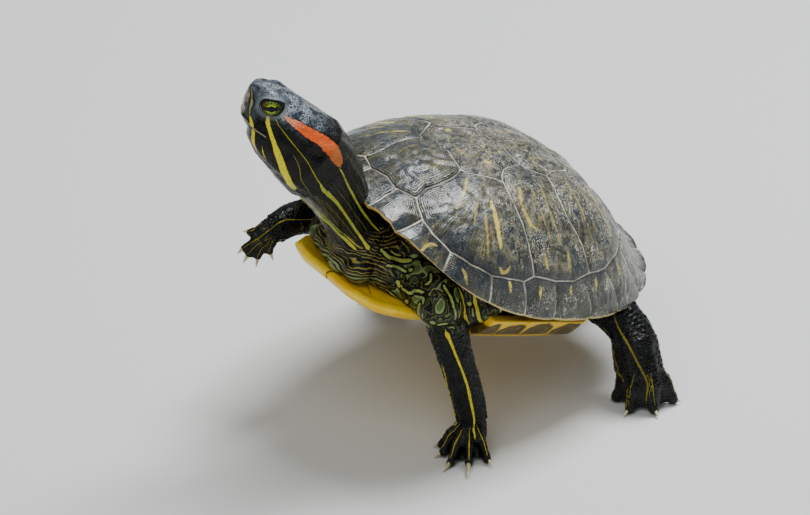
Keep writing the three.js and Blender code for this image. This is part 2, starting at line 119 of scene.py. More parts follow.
# ---------------------------------------------------------------- carapace
# The upper shell: thirty-eight horny scutes over bone, here sixteen pieces that meet in sunken
# seams. Each is a curved plate about 2.5 mm thick with growth rings near its edges, fine wrinkles
# that fan out from its oldest point, and yellow bars in the horn.
SHELL_MIDDLE = np.array((-5.9965, 0.7338, 60.0))
LENGTH = 150.0
FRONT_REACH, REAR_REACH, HALF_WIDTH = 75.0, 76.2, 57.6
FRONT_RISE, REAR_RISE, DOME_HEIGHT = 21.9, 12.3, 43.35
TOP_AHEAD = 4.5
RIM_ROUNDNESS = 0.828
PITCH, ROLL = math.radians(-22), math.radians(-10)
shell_turn = np.array((
    (math.cos(PITCH), 0, math.sin(PITCH)), (0, 1, 0), (-math.sin(PITCH), 0, math.cos(PITCH)),
)) @ np.array(((1, 0, 0), (0, math.cos(ROLL), -math.sin(ROLL)), (0, math.sin(ROLL), math.cos(ROLL))))


def out_of_shell_frame(points):
    return points @ shell_turn.T + SHELL_MIDDLE


def into_shell_frame(points):
    return (points - SHELL_MIDDLE) @ shell_turn


def power(value, exponent):
    return np.sign(value) * np.abs(value) ** exponent


def fade(value, start, end):
    """Runs smoothly from 0 at the start to 1 at the end."""
    share = np.clip((value - start) / (end - start), 0, 1)
    return share * share * (3 - 2 * share)


def hill(value, width):
    """A bell: 1 at zero, and nearly gone at twice the width."""
    return np.exp(-((value / width) ** 2))


def rim(turn):
    """The shell's edge. Turn 0 is straight ahead."""
    ahead = np.cos(turn)
    return np.stack((
        np.where(ahead > 0, FRONT_REACH, REAR_REACH) * power(ahead, RIM_ROUNDNESS),
        HALF_WIDTH * (1 - 0.05 * ahead) * power(np.sin(turn), RIM_ROUNDNESS),
        np.where(ahead > 0, FRONT_RISE, REAR_RISE) * ahead * ahead,
    ), -1)


def dome(share, turn):
    """The shell's outer face. The share runs from 0 at the top to 1 at the rim."""
    ahead = np.cos(turn)
    edge = rim(turn)
    forward = 0.63 + 0.79 * np.abs(ahead) ** 3.8
    rearward = 0.63 + 1.15 * np.abs(ahead) ** 2.7
    rise = (1 - share ** 2.56) ** np.where(ahead > 0, forward, rearward)
    x = TOP_AHEAD * (1 - share) + edge[..., 0] * share
    swell = 2.4 * hill(x + 38, 22) * np.sqrt(rise)
    z = edge[..., 2] + (DOME_HEIGHT - edge[..., 2]) * rise + swell
    return np.stack((x, edge[..., 1] * share, z), -1)


ALL_ROUND = np.radians(np.linspace(-180, 180, 3601))
round_rim = rim(ALL_ROUND)
rim_heading = np.unwrap(np.arctan2(round_rim[:, 1], round_rim[:, 0] - TOP_AHEAD))


def share_and_turn(plan):
    """From places in shares of the shell's length, seen from above."""
    x, y = plan[..., 0] * LENGTH - TOP_AHEAD, plan[..., 1] * LENGTH
    turn = np.interp(np.arctan2(y, x), rim_heading, ALL_ROUND)
    edge = rim(turn)
    return np.hypot(x, y) / np.hypot(edge[..., 0] - TOP_AHEAD, edge[..., 1]), turn


# Seams of the left half, in shares of the shell's length: ahead, and out from the middle.
MARGINAL_SEAM = np.array((
    (0.400, 0), (0.408, 0.048), (0.384, 0.104), (0.392, 0.128), (0.398, 0.165), (0.388, 0.205),
    (0.357, 0.254), (0.306, 0.294), (0.250, 0.324), (0.201, 0.337), (0.148, 0.348), (0.115, 0.345),
    (0.037, 0.355), (-0.030, 0.356), (-0.087, 0.346), (-0.120, 0.343), (-0.151, 0.336),
    (-0.216, 0.301), (-0.245, 0.268), (-0.285, 0.225), (-0.325, 0.196), (-0.362, 0.165),
    (-0.390, 0.115), (-0.405, 0.085), (-0.418, 0),
))
VERTEBRAL_SEAM = np.array((
    (0.384, 0.104), (0.353, 0.092), (0.315, 0.097), (0.271, 0.095), (0.246, 0.085), (0.232, 0.076),
    (0.225, 0.094), (0.192, 0.113), (0.159, 0.132), (0.141, 0.147), (0.130, 0.127),
    (0.106, 0.106), (0.077, 0.096), (0.027, 0.086), (0.014, 0.109), (-0.005, 0.120),
    (-0.034, 0.130), (-0.070, 0.112), (-0.150, 0.092), (-0.170, 0.112), (-0.232, 0.122),
    (-0.270, 0.085), (-0.305, 0.062), (-0.362, 0.165),
))
CROSS_SEAMS = [np.array(seam) for seam in (
    ((0.232, 0.076), (0.224, 0.038), (0.213, 0)),
    ((0.027, 0.086), (0.031, 0.040), (0.022, 0)),
    ((-0.150, 0.092), (-0.150, 0.045), (-0.158, 0)),
    ((-0.305, 0.062), (-0.300, 0.030), (-0.308, 0)),
)]
COSTAL_SEAMS = [np.array(seam) for seam in (
    ((0.141, 0.147), (0.143, 0.178), (0.142, 0.225), (0.136, 0.267), (0.129, 0.305), (0.115, 0.345)),
    ((-0.034, 0.130), (-0.027, 0.200), (-0.030, 0.248), (-0.052, 0.286), (-0.087, 0.346)),
    ((-0.232, 0.122), (-0.240, 0.170), (-0.285, 0.225)),
)]
# Seams between marginals: share and turn (degrees) at the inner end, then the turn at the rim.
MARGINAL_CUTS = (
    (0.816, 7.0, 6.8), (0.863, 26.4, 21.5), (0.932, 44.2, 44.4), (0.953, 63.0, 65.3),
    (0.944, 75.9, 79.4), (0.941, 87.3, 89.0), (0.934, 95.4, 100.2), (0.907, 105.7, 113.5),
    (0.838, 121.2, 132.0), (0.800, 135.5, 147.0), (0.800, 152.5, 162.5), (0.860, 180.0, 180.0),
)


def finely(path, step):
    """The same path with a point about every step."""
    lengths = np.linalg.norm(np.diff(path, axis=0), axis=1)
    along = np.concatenate(([0], np.cumsum(lengths)))
    marks = np.linspace(0, along[-1], max(2, int(along[-1] / step) + 1))
    return np.stack([np.interp(marks, along, path[:, i]) for i in range(path.shape[1])], -1)


def both_sides(paths):
    """Each path of the left half, and the same path on the right."""
    return [half for path in paths for half in (np.array(path), np.array(path) * (1, -1))]


def on_dome(path, step):
    share, turn = share_and_turn(finely(path, step))
    return dome(np.minimum(share, 1), turn)


seam_lines = both_sides([MARGINAL_SEAM, VERTEBRAL_SEAM, *CROSS_SEAMS, *COSTAL_SEAMS])
cut_points = []
for inner, start, end in MARGINAL_CUTS:
    for side in (1, -1):
        steps = np.linspace(0, 1, 60)
        turns = np.radians(start + (end - start) * steps) * side
        cut_points.append(dome(inner + (1 - inner) * steps, turns))
# The cuts beside the nuchal and the one at the tail end part the pieces. The others are only drawn.
parting = [on_dome(line, 0.0012) for line in seam_lines] + cut_points[:2] + cut_points[-2:-1]
plate_seams = np.concatenate(parting)
drawn_seams = np.concatenate(cut_points[2:-2])


def tree_of(points):
    tree = kdtree.KDTree(len(points))
    for i, point in enumerate(points):
        tree.insert(point, i)
    tree.balance()
    return tree


def nearest_in(tree, points):
    """Which of the tree's points is nearest to each place, and how far off it is."""
    found = [tree.find(p) for p in points]
    return np.array([i for _, i, _ in found]), np.array([gap for _, _, gap in found])


# A square grid laid over the dome in rings, finer towards the rim where the wall is steep.
ACROSS = 250
cover = bmesh.new()
bmesh.ops.create_grid(cover, x_segments=ACROSS, y_segments=ACROSS, size=1.0)
flat = np.array([v.co[:2] for v in cover.verts])
u, w = flat[:, 0], flat[:, 1]
quarter = math.pi / 4
safe_u, safe_w = np.where(u == 0, 1e-9, u), np.where(w == 0, 1e-9, w)
turns = np.where(
    np.abs(u) >= np.abs(w),
    quarter * w / safe_u + np.where(u < 0, math.pi, 0),
    math.pi / 2 - quarter * u / safe_w + np.where(w < 0, math.pi, 0),
)
turns = (turns + math.pi) % (2 * math.pi) - math.pi
profile = np.linspace(0, 1, 2001)
side_profile = dome(profile, np.full(2001, math.radians(75)))
arc = np.concatenate(([0], np.cumsum(np.linalg.norm(np.diff(side_profile, axis=0), axis=1))))
square_ring = np.maximum(np.abs(u), np.abs(w))
ring_share = np.interp(square_ring * arc[-1], arc, profile)
from_rim = (1 - square_ring) * arc[-1]
surface = dome(ring_share, turns)
for vert, place in zip(cover.verts, surface):
    vert.co = place

SIDES = ("left", "right")
PLATES = (
    "nuchal", "marginals_left", "marginals_right",
    *(f"vertebral_{i}" for i in range(1, 6)),
    *(f"costal_{i}_{side}" for i in range(1, 5) for side in SIDES),
)


def plate_numbers(plan):
    """Which plate covers each place of the plan."""
    x, y = plan[:, 0], plan[:, 1]
    out = np.abs(y)
    border = np.concatenate((MARGINAL_SEAM, (MARGINAL_SEAM * (1, -1))[-2:0:-1]))
    inside = np.zeros(len(plan), bool)
    for a, b in zip(border, np.roll(border, -1, 0)):
        rising = (a[1] > y) != (b[1] > y)
        inside ^= rising & (x < (b[0] - a[0]) * (y - a[1]) / (b[1] - a[1] + 1e-12) + a[0])
    strip = out < np.interp(x, VERTEBRAL_SEAM[::-1, 0], VERTEBRAL_SEAM[::-1, 1])
    vertebral = sum((x < np.interp(out, s[::-1, 1], s[::-1, 0])).astype(int) for s in CROSS_SEAMS)
    costal = sum((x < np.interp(out, s[:, 1], s[:, 0])).astype(int) for s in COSTAL_SEAMS)
    front = (x > 0) & (np.abs(share_and_turn(plan)[1]) < math.radians(6.9))
    return np.where(
        inside,
        np.where(strip, 3 + vertebral, 8 + 2 * costal + (y < 0)),
        np.where(front, 0, 1 + (y < 0)),
    )


cover.verts.ensure_lookup_table()
cover.faces.ensure_lookup_table()
corners = np.array([[v.index for v in f.verts] for f in cover.faces])
number = plate_numbers(surface[corners].mean(1)[:, :2] / LENGTH)

# The corners where two plates meet are moved onto the seam.
low, high = np.full(len(surface), 99), np.full(len(surface), -1)
for k in range(4):
    np.minimum.at(low, corners[:, k], number)
    np.maximum.at(high, corners[:, k], number)
seam_tree = tree_of(plate_seams)
for i in np.flatnonzero(low != high):
    surface[i] = seam_tree.find(surface[i])[0]
    cover.verts[i].co = surface[i]
cover.normal_update()
outward = np.array([v.normal for v in cover.verts])
if outward[np.argmax(surface[:, 2])][2] < 0:
    bmesh.ops.reverse_faces(cover, faces=cover.faces)
    outward = -outward

edge_distance = nearest_in(seam_tree, surface)[1]
cut_distance = nearest_in(tree_of(drawn_seams), surface)[1]
cut_distance[low > 2] = 99

# Yellow marks in the horn: places in shares of the length, the half width in millimetres, then how
# strong the yellow is.
BARS = (
    (((0.235, 0.111), (0.258, 0.135), (0.282, 0.159), (0.312, 0.180)), 0.5, 0.75),
    (((0.252, 0.185), (0.268, 0.208), (0.284, 0.231)), 0.55, 0.55),
    (((0.239, 0.200), (0.250, 0.235), (0.258, 0.270), (0.262, 0.300)), 0.5, 0.55),
    (((0.215, 0.195), (0.219, 0.230), (0.222, 0.262), (0.224, 0.290)), 0.95, 1.0),
    (((0.208, 0.135), (0.203, 0.167)), 0.4, 0.42),
    (((0.229, 0.318), (0.220, 0.327), (0.208, 0.328), (0.197, 0.322)), 0.6, 0.8),
    (((0.104, 0.172), (0.118, 0.205), (0.123, 0.227), (0.114, 0.263), (0.090, 0.278)), 0.75, 0.75),
    (((0.060, 0.160), (0.066, 0.210), (0.062, 0.262), (0.052, 0.300)), 0.4, 0.6),
    (((0.025, 0.165), (0.032, 0.215), (0.032, 0.255), (0.020, 0.305)), 0.7, 0.42),
    (((0.081, 0.318), (0.074, 0.333), (0.065, 0.345)), 0.7, 0.7),
    (((-0.003, 0.318), (-0.006, 0.334), (-0.010, 0.347)), 0.7, 0.7),
    (((-0.085, 0.150), (-0.090, 0.200), (-0.092, 0.255), (-0.105, 0.300)), 0.5, 0.42),
    (((-0.125, 0.140), (-0.135, 0.200), (-0.148, 0.262)), 0.45, 0.42),
    (((-0.175, 0.150), (-0.176, 0.200), (-0.182, 0.240), (-0.200, 0.268)), 0.9, 0.42),
    (((-0.265, 0.120), (-0.290, 0.150), (-0.325, 0.172)), 0.6, 0.42),
    (((0.428, 0.222), (0.417, 0.219), (0.400, 0.222), (0.388, 0.230)), 0.75, 0.9),
    (((0.441, 0.105), (0.452, 0.118), (0.470, 0.128)), 0.6, 0.42),
    (((0.333, 0.290), (0.326, 0.299), (0.318, 0.312)), 0.7, 0.9),
    (((0.195, 0.342), (0.190, 0.352)), 0.75, 1.0),
    (((0.094, 0.358), (0.090, 0.368)), 0.75, 1.0),
    (((-0.017, 0.362), (-0.020, 0.371)), 0.7, 0.8),
    (((-0.110, 0.352), (-0.116, 0.365)), 0.7, 0.8),
    (((-0.205, 0.322), (-0.215, 0.335)), 0.8, 0.7),
    (((-0.310, 0.255), (-0.325, 0.270)), 0.8, 0.42),
    (((-0.385, 0.190), (-0.400, 0.205)), 0.8, 0.42),
    (((-0.445, 0.070), (-0.465, 0.075)), 0.8, 0.42),
    (((0.150, 0.075), (0.143, 0.082), (0.134, 0.078)), 0.9, 0.8),
    (((0.330, 0.045), (0.300, 0.050), (0.262, 0.040)), 0.4, 0.42),
    (((0.168, 0.057), (0.191, 0.020), (0.180, -0.020)), 0.45, 0.42),
    (((0.066, 0.037), (0.090, 0.045), (0.127, 0.009)), 0.4, 0.42),
    (((-0.020, 0.070), (-0.060, 0.060), (-0.100, 0.070)), 0.5, 0.42),
    (((-0.190, 0.060), (-0.230, 0.050), (-0.270, 0.030)), 0.5, 0.42),
)


def inside_bars(points):
    """How far inside the nearest bar each point lies, in millimetres, and how strong that bar is."""
    spots, halves, strengths = [], [], []
    for path, half, strength in BARS:
        for run in [on_dome(way, 0.002) for way in both_sides([path])]:
            spots.append(run)
            halves.append(half * np.sqrt(np.sin(np.linspace(0.15, 0.93, len(run)) * math.pi)))
            strengths.append(np.full(len(run), strength))
    nearest, gap = nearest_in(tree_of(np.concatenate(spots)), points)
    return np.concatenate(halves)[nearest] - gap, np.concatenate(strengths)[nearest]


bar_inside, bar_yellow = inside_bars(surface)


def lumps(points, size=1.0, seed=0):
    """Smooth noise between about -1 and 1, with lumps of the given size."""
    shift = Vector((seed * 17.3, seed * 5.1, seed * 9.7))
    return np.array([noise.noise(Vector(p) / size + shift) for p in points])


# Relief: sunken seams, growth rings, fanning wrinkles, low keel knobs and a lumpy first plate.
groove = np.minimum(edge_distance, cut_distance)
x_mm, y_mm = surface[:, 0], surface[:, 1]
lift = -0.55 * hill(groove, 0.75) + 0.30 * fade(groove, 0.5, 6)
lift += 0.05 * np.sin(groove * 2 * math.pi / 0.95) * (1 - fade(groove, 3, 9)) * fade(groove, 0.6, 1.4)
lift += 0.16 * lumps(surface, 6.0, 1) + 0.07 * lumps(surface, 1.9, 2)
hump = np.exp(-(((x_mm - 47) / 13) ** 2) - (y_mm / 13) ** 2)
lift += np.where((low == 3) & (high == 3), 1.3 * hump + 0.75 * hump * lumps(surface, 3.2, 3), 0)
lift += np.where((low == 1) & (x_mm > 40), 0.7 * fade(groove, 0.5, 5), 0)
lift += 0.22 * lumps(surface, 3.0, 6) * fade(x_mm, 10, 40)
lift += 0.20 * lumps(surface * (1.0, 1.0, 0.5), 2.2, 7) * (1 - fade(x_mm, 20, 45))
for knob in (0.075, -0.095, -0.235):
    lift += 0.7 * np.exp(-((y_mm / 3.2) ** 2) - ((x_mm - knob * LENGTH) / 9) ** 2)
lift += 0.25 * hill(y_mm, 2.2) * fade(-x_mm, -25, 10)
# The rim is notched where two marginals meet, most of all at the rear.
notch = hill(cut_distance, 2.6) * fade(ring_share, 0.9, 1.0) * (0.25 + 0.75 * fade(-x_mm, 20, 55))
inward_pull = (surface - np.array((TOP_AHEAD, 0, 0))) * np.array((1, 1, 0))
inward_pull /= np.linalg.norm(inward_pull, axis=1)[:, None] + 1e-9
finished = surface + outward * lift[:, None] - inward_pull * (0.35 * notch)[:, None]
outward_layer = cover.verts.layers.float_vector.new("outward")
plate_layer = cover.verts.layers.float_vector.new("plate")
yellow_layer = cover.verts.layers.float.new("yellow")
place_layer = cover.verts.layers.float_vector.new("place")
for i, vert in enumerate(cover.verts):
    vert.co = Vector(finished[i])
    vert[outward_layer] = outward[i]
    vert[plate_layer] = (edge_distance[i], min(cut_distance[i], 30), bar_inside[i])
    vert[yellow_layer] = bar_yellow[i]
    vert[place_layer] = (surface[i][0] / LENGTH, surface[i][1] / LENGTH, from_rim[i])


class Amount:
    """A number that a material works out at each place, with the usual sums."""

    def __init__(self, paint, socket):
        self.paint, self.socket = paint, socket

    def __add__(self, other):
        return self.paint.math("ADD", self, other)

    def __sub__(self, other):
        return self.paint.math("SUBTRACT", self, other)

    def __mul__(self, other):
        return self.paint.math("MULTIPLY", self, other)

    def __abs__(self):
        return self.paint.math("ABSOLUTE", self)

    def wave(self):
        return self.paint.math("SINE", self)

    def between(self, start, end):
        """Runs smoothly from 0 at the start to 1 at the end."""
        inputs = {"Value": self, "From Min": start, "From Max": end}
        outputs = self.paint.node("MapRange", inputs, interpolation_type="SMOOTHSTEP")
        return Amount(self.paint, outputs["Result"])

    def mixed(self, a, b):
        """Goes from a to b as this amount goes from 0 to 1."""
        return Amount(self.paint, self.paint.node("Mix", {0: self, 2: a, 3: b})[0])


class Paint:
    """One material, in short words."""

    def __init__(self, name, roughness, specular=0.5, coat=0.0, coat_roughness=0.1):
        self.material = bpy.data.materials.new(name)
        self.material.use_nodes = True
        self.nodes, self.links = self.material.node_tree.nodes, self.material.node_tree.links
        self.surface = self.nodes["Principled BSDF"].inputs
        self.feed("Roughness", roughness)
        self.feed("Specular IOR Level", specular)
        self.feed("Coat Weight", coat)
        self.feed("Coat Roughness", coat_roughness)
        self.place = self.node("TexCoord", {})["Object"]

    def feed(self, name, value):
        self.join(value, self.surface[name])

    def join(self, value, socket):
        value = value.socket if isinstance(value, Amount) else value
        if isinstance(value, bpy.types.NodeSocket):
            self.links.new(value, socket)
        elif socket.type == "RGBA":
            socket.default_value = (*value, 1)
        else:
            socket.default_value = value

    def node(self, kind, inputs, **settings):
        """The outputs of a new node."""
        node = self.nodes.new("ShaderNode" + kind)
        for name, value in settings.items():
            setattr(node, name, value)
        for name, value in inputs.items():
            self.join(value, node.inputs[name])
        return node.outputs

    def math(self, kind, *values):
        return Amount(self, self.node("Math", dict(enumerate(values)), operation=kind)[0])

    def attribute(self, name, output="Vector"):
        return self.node("Attribute", {}, attribute_name=name)[output]

    def amount(self, name):
        return Amount(self, self.attribute(name, "Fac"))

    def parts(self, name):
        return [Amount(self, part) for part in self.node("SeparateXYZ", {0: self.attribute(name)})]

    def cloud(self, scale, detail=3.0, rough=0.55, at=None, distortion=0.0):
        inputs = {"Vector": self.place if at is None else at, "Scale": scale, "Detail": detail}
        inputs.update({"Roughness": rough, "Distortion": distortion})
        return Amount(self, self.node("TexNoise", inputs)["Fac"])

    def cells(self, scale, feature="F1"):
        inputs = {"Vector": self.place, "Scale": scale}
        return Amount(self, self.node("TexVoronoi", inputs, feature=feature)["Distance"])

    def layers(self, under, *over):
        """A colour with others laid over it. Each comes with its share."""
        for share, colour in over:
            under = self.node("Mix", {0: share, 6: under, 7: colour}, data_type="RGBA")[2]
        return under

    def bump(self, height, depth, layer="Normal"):
        self.feed(layer, self.node("Bump", {"Distance": depth, "Height": height})[0])


horn = Paint("horn", 0.30, specular=0.30, coat=0.60, coat_roughness=0.13)
edge, cut, bar = horn.parts("plate")
ahead, _, from_edge = horn.parts("place")
strength = horn.amount("yellow")
patches = horn.cloud(95, 5, 0.6)
fine = horn.cloud(560, 4, 0.65)
grain = horn.cloud(1700, 3, 0.65)
mottle = horn.cloud(300, 5, 0.68, distortion=0.6)
fan_lines = horn.cloud(1.0, 4, 0.62, at=horn.attribute("fan_place"))
streaks = horn.cloud(1.9, 3, 0.6, at=horn.attribute("fan_place"))
# The share towards the rear: 0 at the front, where the blue slate with its painted sky reflection stays,
# and 1 further back.
toward_rear = (patches * -0.24 + (ahead + 0.12)).between(0.30, 0.14)
brown = horn.cloud(150, 4, 0.6, distortion=1.0).between(0.46, 0.60)
# Painted shade: a darker band within about 9 to 15 mm of the rim, left out at the front and strongest at
# the rear.
rim_shade = from_edge.between(15.0, 9.0) * ahead.between(0.33, 0.20)
clumps = horn.cloud(110, 4, 0.6).between(0.42, 0.60) * toward_rear
lower = edge.between(6.0, 2.5) * from_edge.between(28.0, 16.0)
rings = (mottle * 7.0 + edge * 7.2).wave()
bar_share = (bar + (mottle - 0.5) * 1.6).between(-0.30, 0.35) * strength.mixed(0.35, 1.0)
yellow = horn.layers(
    (0.20, 0.170, 0.072), (strength * mottle.between(0.30, 0.55), (0.62, 0.50, 0.085)),
)
shake = (fine - 0.5) * 0.5
seam = horn.math("MAXIMUM", (edge + shake).between(0.36, 0.18), (cut + shake).between(0.48, 0.26))
cream = horn.layers((0.26, 0.23, 0.16), (patches.between(0.35, 0.62), (0.66, 0.64, 0.55)))
rim_line = (from_edge + (fine - 0.5) * 1.6).between(1.0, 0.4) * patches.between(0.30, 0.52)
spots = horn.cells(62)
under_face = horn.layers(
    (0.60, 0.34, 0.030),
    (spots.between(0.50, 0.42), (0.012, 0.011, 0.008)),
    (abs(spots - 0.30).between(0.05, 0.02), (0.40, 0.25, 0.035)),
)
# Blue slate at the front, partly the horn's own colour and partly a painted reflection of the pale sky;
# further back it is worn, mottled olive, grey and tan.
horn.feed("Base Color", horn.layers(
    (0.010, 0.020, 0.034),
    (patches.between(0.40, 0.62), (0.036, 0.036, 0.018)),
    (brown * toward_rear.mixed(0.05, 0.75), (0.085, 0.062, 0.022)),
    (mottle.between(0.49, 0.57) * toward_rear.mixed(0.25, 0.80), (0.150, 0.152, 0.100)),
    (fan_lines.between(0.50, 0.64) * toward_rear.mixed(0.15, 0.50), (0.24, 0.22, 0.14)),
    (streaks.between(0.55, 0.66) * patches.between(0.40, 0.58) * 0.6, (0.27, 0.20, 0.070)),
    (fine.between(0.47, 0.41) * toward_rear.mixed(0.30, 0.9), (0.006, 0.008, 0.008)),
    (fan_lines.between(0.46, 0.36) * toward_rear.mixed(0.45, 0.80), (0.006, 0.009, 0.012)),
    # Painted shade on the low rim.
    (rim_shade * ahead.between(-0.22, -0.40).mixed(0.68, 0.86), (0.010, 0.013, 0.009)),
    (grain.between(0.56, 0.61) * clumps * 0.85, (0.56, 0.56, 0.50)),
    (horn.cloud(420, 3, 0.6).between(0.60, 0.66) * clumps * 0.8, (0.56, 0.50, 0.42)),
    (lower * 0.7, (0.006, 0.008, 0.012)),
    (lower * rings.between(0.55, 1.0) * 0.30, (0.07, 0.09, 0.12)),
    (bar_share, yellow),
    # Painted shadow: a dark band beside each seam, as if cast into the sunken groove; the cream seam lies
    # over it.
    ((edge + shake).between(1.0, 0.4) * 0.6, (0.006, 0.006, 0.007)),
    (seam * 0.85, cream),
    (rim_line * 0.9, (0.60, 0.47, 0.16)),
    (horn.amount("under_side"), under_face),
))
horn.feed("Roughness", fine.between(0.35, 0.70).mixed(0.0, 0.20) + toward_rear.mixed(0.19, 0.42))
# Fine growth rings run along the plates' edges and wrinkles fan out over the young horn.
relief = rings * (edge.between(11.0, 1.0) * toward_rear.mixed(0.34, 0.16)) + fan_lines * 1.5 + mottle * 1.4
relief = relief + fine * toward_rear.mixed(0.45, 0.9) + grain * toward_rear.mixed(0.10, 0.30)
horn.bump(relief, 0.00050)
soft_relief = rings * (edge.between(11.0, 1.0) * 0.20) + fan_lines * 0.8 + mottle
horn.bump(soft_relief, 0.00020, "Coat Normal")


def object_of(name, mesh, material, slot_name, *nodes):
    """A finished piece that rides on the body and replaces its solids."""
    piece = in_scene(name, mesh)
    mesh.materials.clear()
    mesh.materials.append(material)
    for polygon in mesh.polygons:
        polygon.use_smooth = True
    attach(piece, "root")
    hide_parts(*nodes)


def write_on(mesh, **layers):
    """Writes numbers or vectors on the mesh's vertices, for its material to read."""
    for name, values in layers.items():
        values = np.ascontiguousarray(values, np.float32)
        kind, field = ("FLOAT", "value") if values.ndim == 1 else ("FLOAT_VECTOR", "vector")
        mesh.attributes.new(name, kind, "POINT").data.foreach_set(field, values.ravel())


def numbers_of(mesh):
    """The vertices' places as they are written in the mesh."""
    co = np.empty(len(mesh.vertices) * 3)
    mesh.vertices.foreach_get("co", co)
    return co.reshape(-1, 3)


def move_to(mesh, points):
    """Moves the vertices to places in millimetres."""
    mesh.vertices.foreach_set("co", (points * MM).ravel())
    mesh.update()


PLATE_THICKNESS, RIM_THICKNESS = 2.5, 0.9
# Where each plate began to grow, in shares of the length.
GROWTH_START = {
    "nuchal": (0.44, 0), "marginals": (0, 0),
    "vertebral_1": (0.300, 0), "vertebral_2": (0.080, 0), "vertebral_3": (-0.090, 0),
    "vertebral_4": (-0.245, 0), "vertebral_5": (-0.345, 0),
    "costal_1": (0.190, 0.150), "costal_2": (0.030, 0.150), "costal_3": (-0.105, 0.155),
    "costal_4": (-0.262, 0.160),
}
number_layer = cover.faces.layers.int.new("number")
for face, plate_number in zip(cover.faces, number):
    face[number_layer] = int(plate_number)
for plate_number, plate_name in enumerate(PLATES):
    plate = cover.copy()
    numbers = plate.faces.layers.int["number"]
    others = [f for f in plate.faces if f[numbers] != plate_number]
    bmesh.ops.delete(plate, geom=others, context="FACES")
    under_layer = plate.verts.layers.float.new("under_side")
    walls = bmesh.ops.extrude_face_region(plate, geom=plate.faces[:], use_keep_orig=True)["geom"]
    outs = plate.verts.layers.float_vector["outward"]
    places = plate.verts.layers.float_vector["place"]
    for vert in (g for g in walls if isinstance(g, bmesh.types.BMVert)):
        thinning = float(1 - fade(vert[places][2], 0, 9.0))
        vert.co -= vert[outs] * (PLATE_THICKNESS + (RIM_THICKNESS - PLATE_THICKNESS) * thinning)
        vert[under_layer] = 1.0
    bmesh.ops.reverse_faces(plate, faces=[g for g in walls if isinstance(g, bmesh.types.BMFace)])
    bmesh.ops.recalc_face_normals(plate, faces=plate.faces)
    mesh = mesh_of(plate, plate_name + "_horn")
    co = numbers_of(mesh)
    start = np.array(GROWTH_START[plate_name.removesuffix("_left").removesuffix("_right")])
    if plate_name.endswith("_right"):
        start = start * (1, -1)
    plan = co[:, :2] / LENGTH - start
    away = np.hypot(plan[:, 0], plan[:, 1]) * LENGTH
    heading = np.arctan2(plan[:, 1], plan[:, 0])
    fan = 16.0 if plate_name.startswith("marginals") else 9.0
    write_on(mesh, fan_place=np.stack((np.cos(heading) * fan, np.sin(heading) * fan, away * 0.05), -1))
    move_to(mesh, out_of_shell_frame(co))
    mesh.set_sharp_from_angle(angle=math.radians(55))
    object_of(plate_name + "_horn", mesh, horn.material, "scute", plate_name)
cover.free()

# ---------------------------------------------------------------- plastron and bridges
# The lower shell: horn over bone in two rows of scutes, joined to the upper shell by a bridge on
# each side. It is glossy yellow, thick and rounded at the front lip, with a dark blot on each scute.
# Each piece is rounded from its solid, so that the pieces meet in soft seams.


def evaluated(thing):
    """The mesh of a thing once its modifiers are applied. The thing is removed."""
    bpy.context.view_layer.update()
    mesh = bpy.data.meshes.new_from_object(thing.evaluated_get(bpy.context.evaluated_depsgraph_get()))
    bpy.data.objects.remove(thing)
    return mesh


def places_of(mesh):
    return numbers_of(mesh) / MM


def normals_of(mesh):
    out = np.empty(len(mesh.vertices) * 3)
    mesh.vertex_normals.foreach_get("vector", out)
    return out.reshape(-1, 3)


def edges_of(mesh):
    ends = np.empty(len(mesh.edges) * 2, int)
    mesh.edges.foreach_get("vertices", ends)
    return ends.reshape(-1, 2)


def smoothed(points, ends, rounds, inflate=-0.53, share=1.0):
    """Evens the surface out without shrinking it."""
    count = np.bincount(ends.ravel(), minlength=len(points))[:, None]
    for _ in range(rounds):
        for step in (0.5, inflate):
            total = np.stack([
                np.bincount(ends[:, 0], points[ends[:, 1], k], len(points))
                + np.bincount(ends[:, 1], points[ends[:, 0], k], len(points)) for k in range(3)
            ], -1)
            points = points + step * share * (total / count - points)
    return points


def voxelled(mesh, size):
    """The mesh made again as one even closed skin."""
    thing = in_scene("lump", mesh)
    remesh = thing.modifiers.new("remesh", "REMESH")
    remesh.mode, remesh.voxel_size = "VOXEL", size * MM
    return evaluated(thing)


def solid_copy(node_name, grow=0.0):
    """A copy of a solid with its corners merged, swollen by so many millimetres."""
    part = bmesh.new()
    part.from_mesh(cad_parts[node_name].data)
    bmesh.ops.remove_doubles(part, verts=part.verts, dist=0.00001)
    bmesh.ops.triangulate(part, faces=part.faces)
    part.normal_update()
    for vert in part.verts:
        vert.co = vert.co + vert.normal * (grow * MM)
    return part


PLASTRON_SEAMS = (
    ((0.395, 0.108), (0.362, 0.055), (0.335, 0)),
    ((0.240, 0.250), (0.250, 0.120), (0.262, 0)),
    ((0.060, 0.300), (0.060, 0)),
    ((-0.170, 0.300), (-0.170, 0)),
    ((-0.345, 0.200), (-0.315, 0.100), (-0.285, 0)),
    ((0.190, 0.262), (0.020, 0.268), (-0.180, 0.262)),
    ((0.500, 0), (-0.500, 0)),
)
# Dark blots: place in shares of the length, then half length and half width in millimetres.
PLASTRON_BLOTS = (
    (0.405, 0.045, 4.2, 3.4), (0.305, 0.095, 4.6, 5.2), (0.160, 0.120, 7.5, 7.2),
    (-0.055, 0.125, 8.5, 8.0), (-0.235, 0.110, 6.0, 7.0), (-0.360, 0.060, 5.0, 4.6),
)
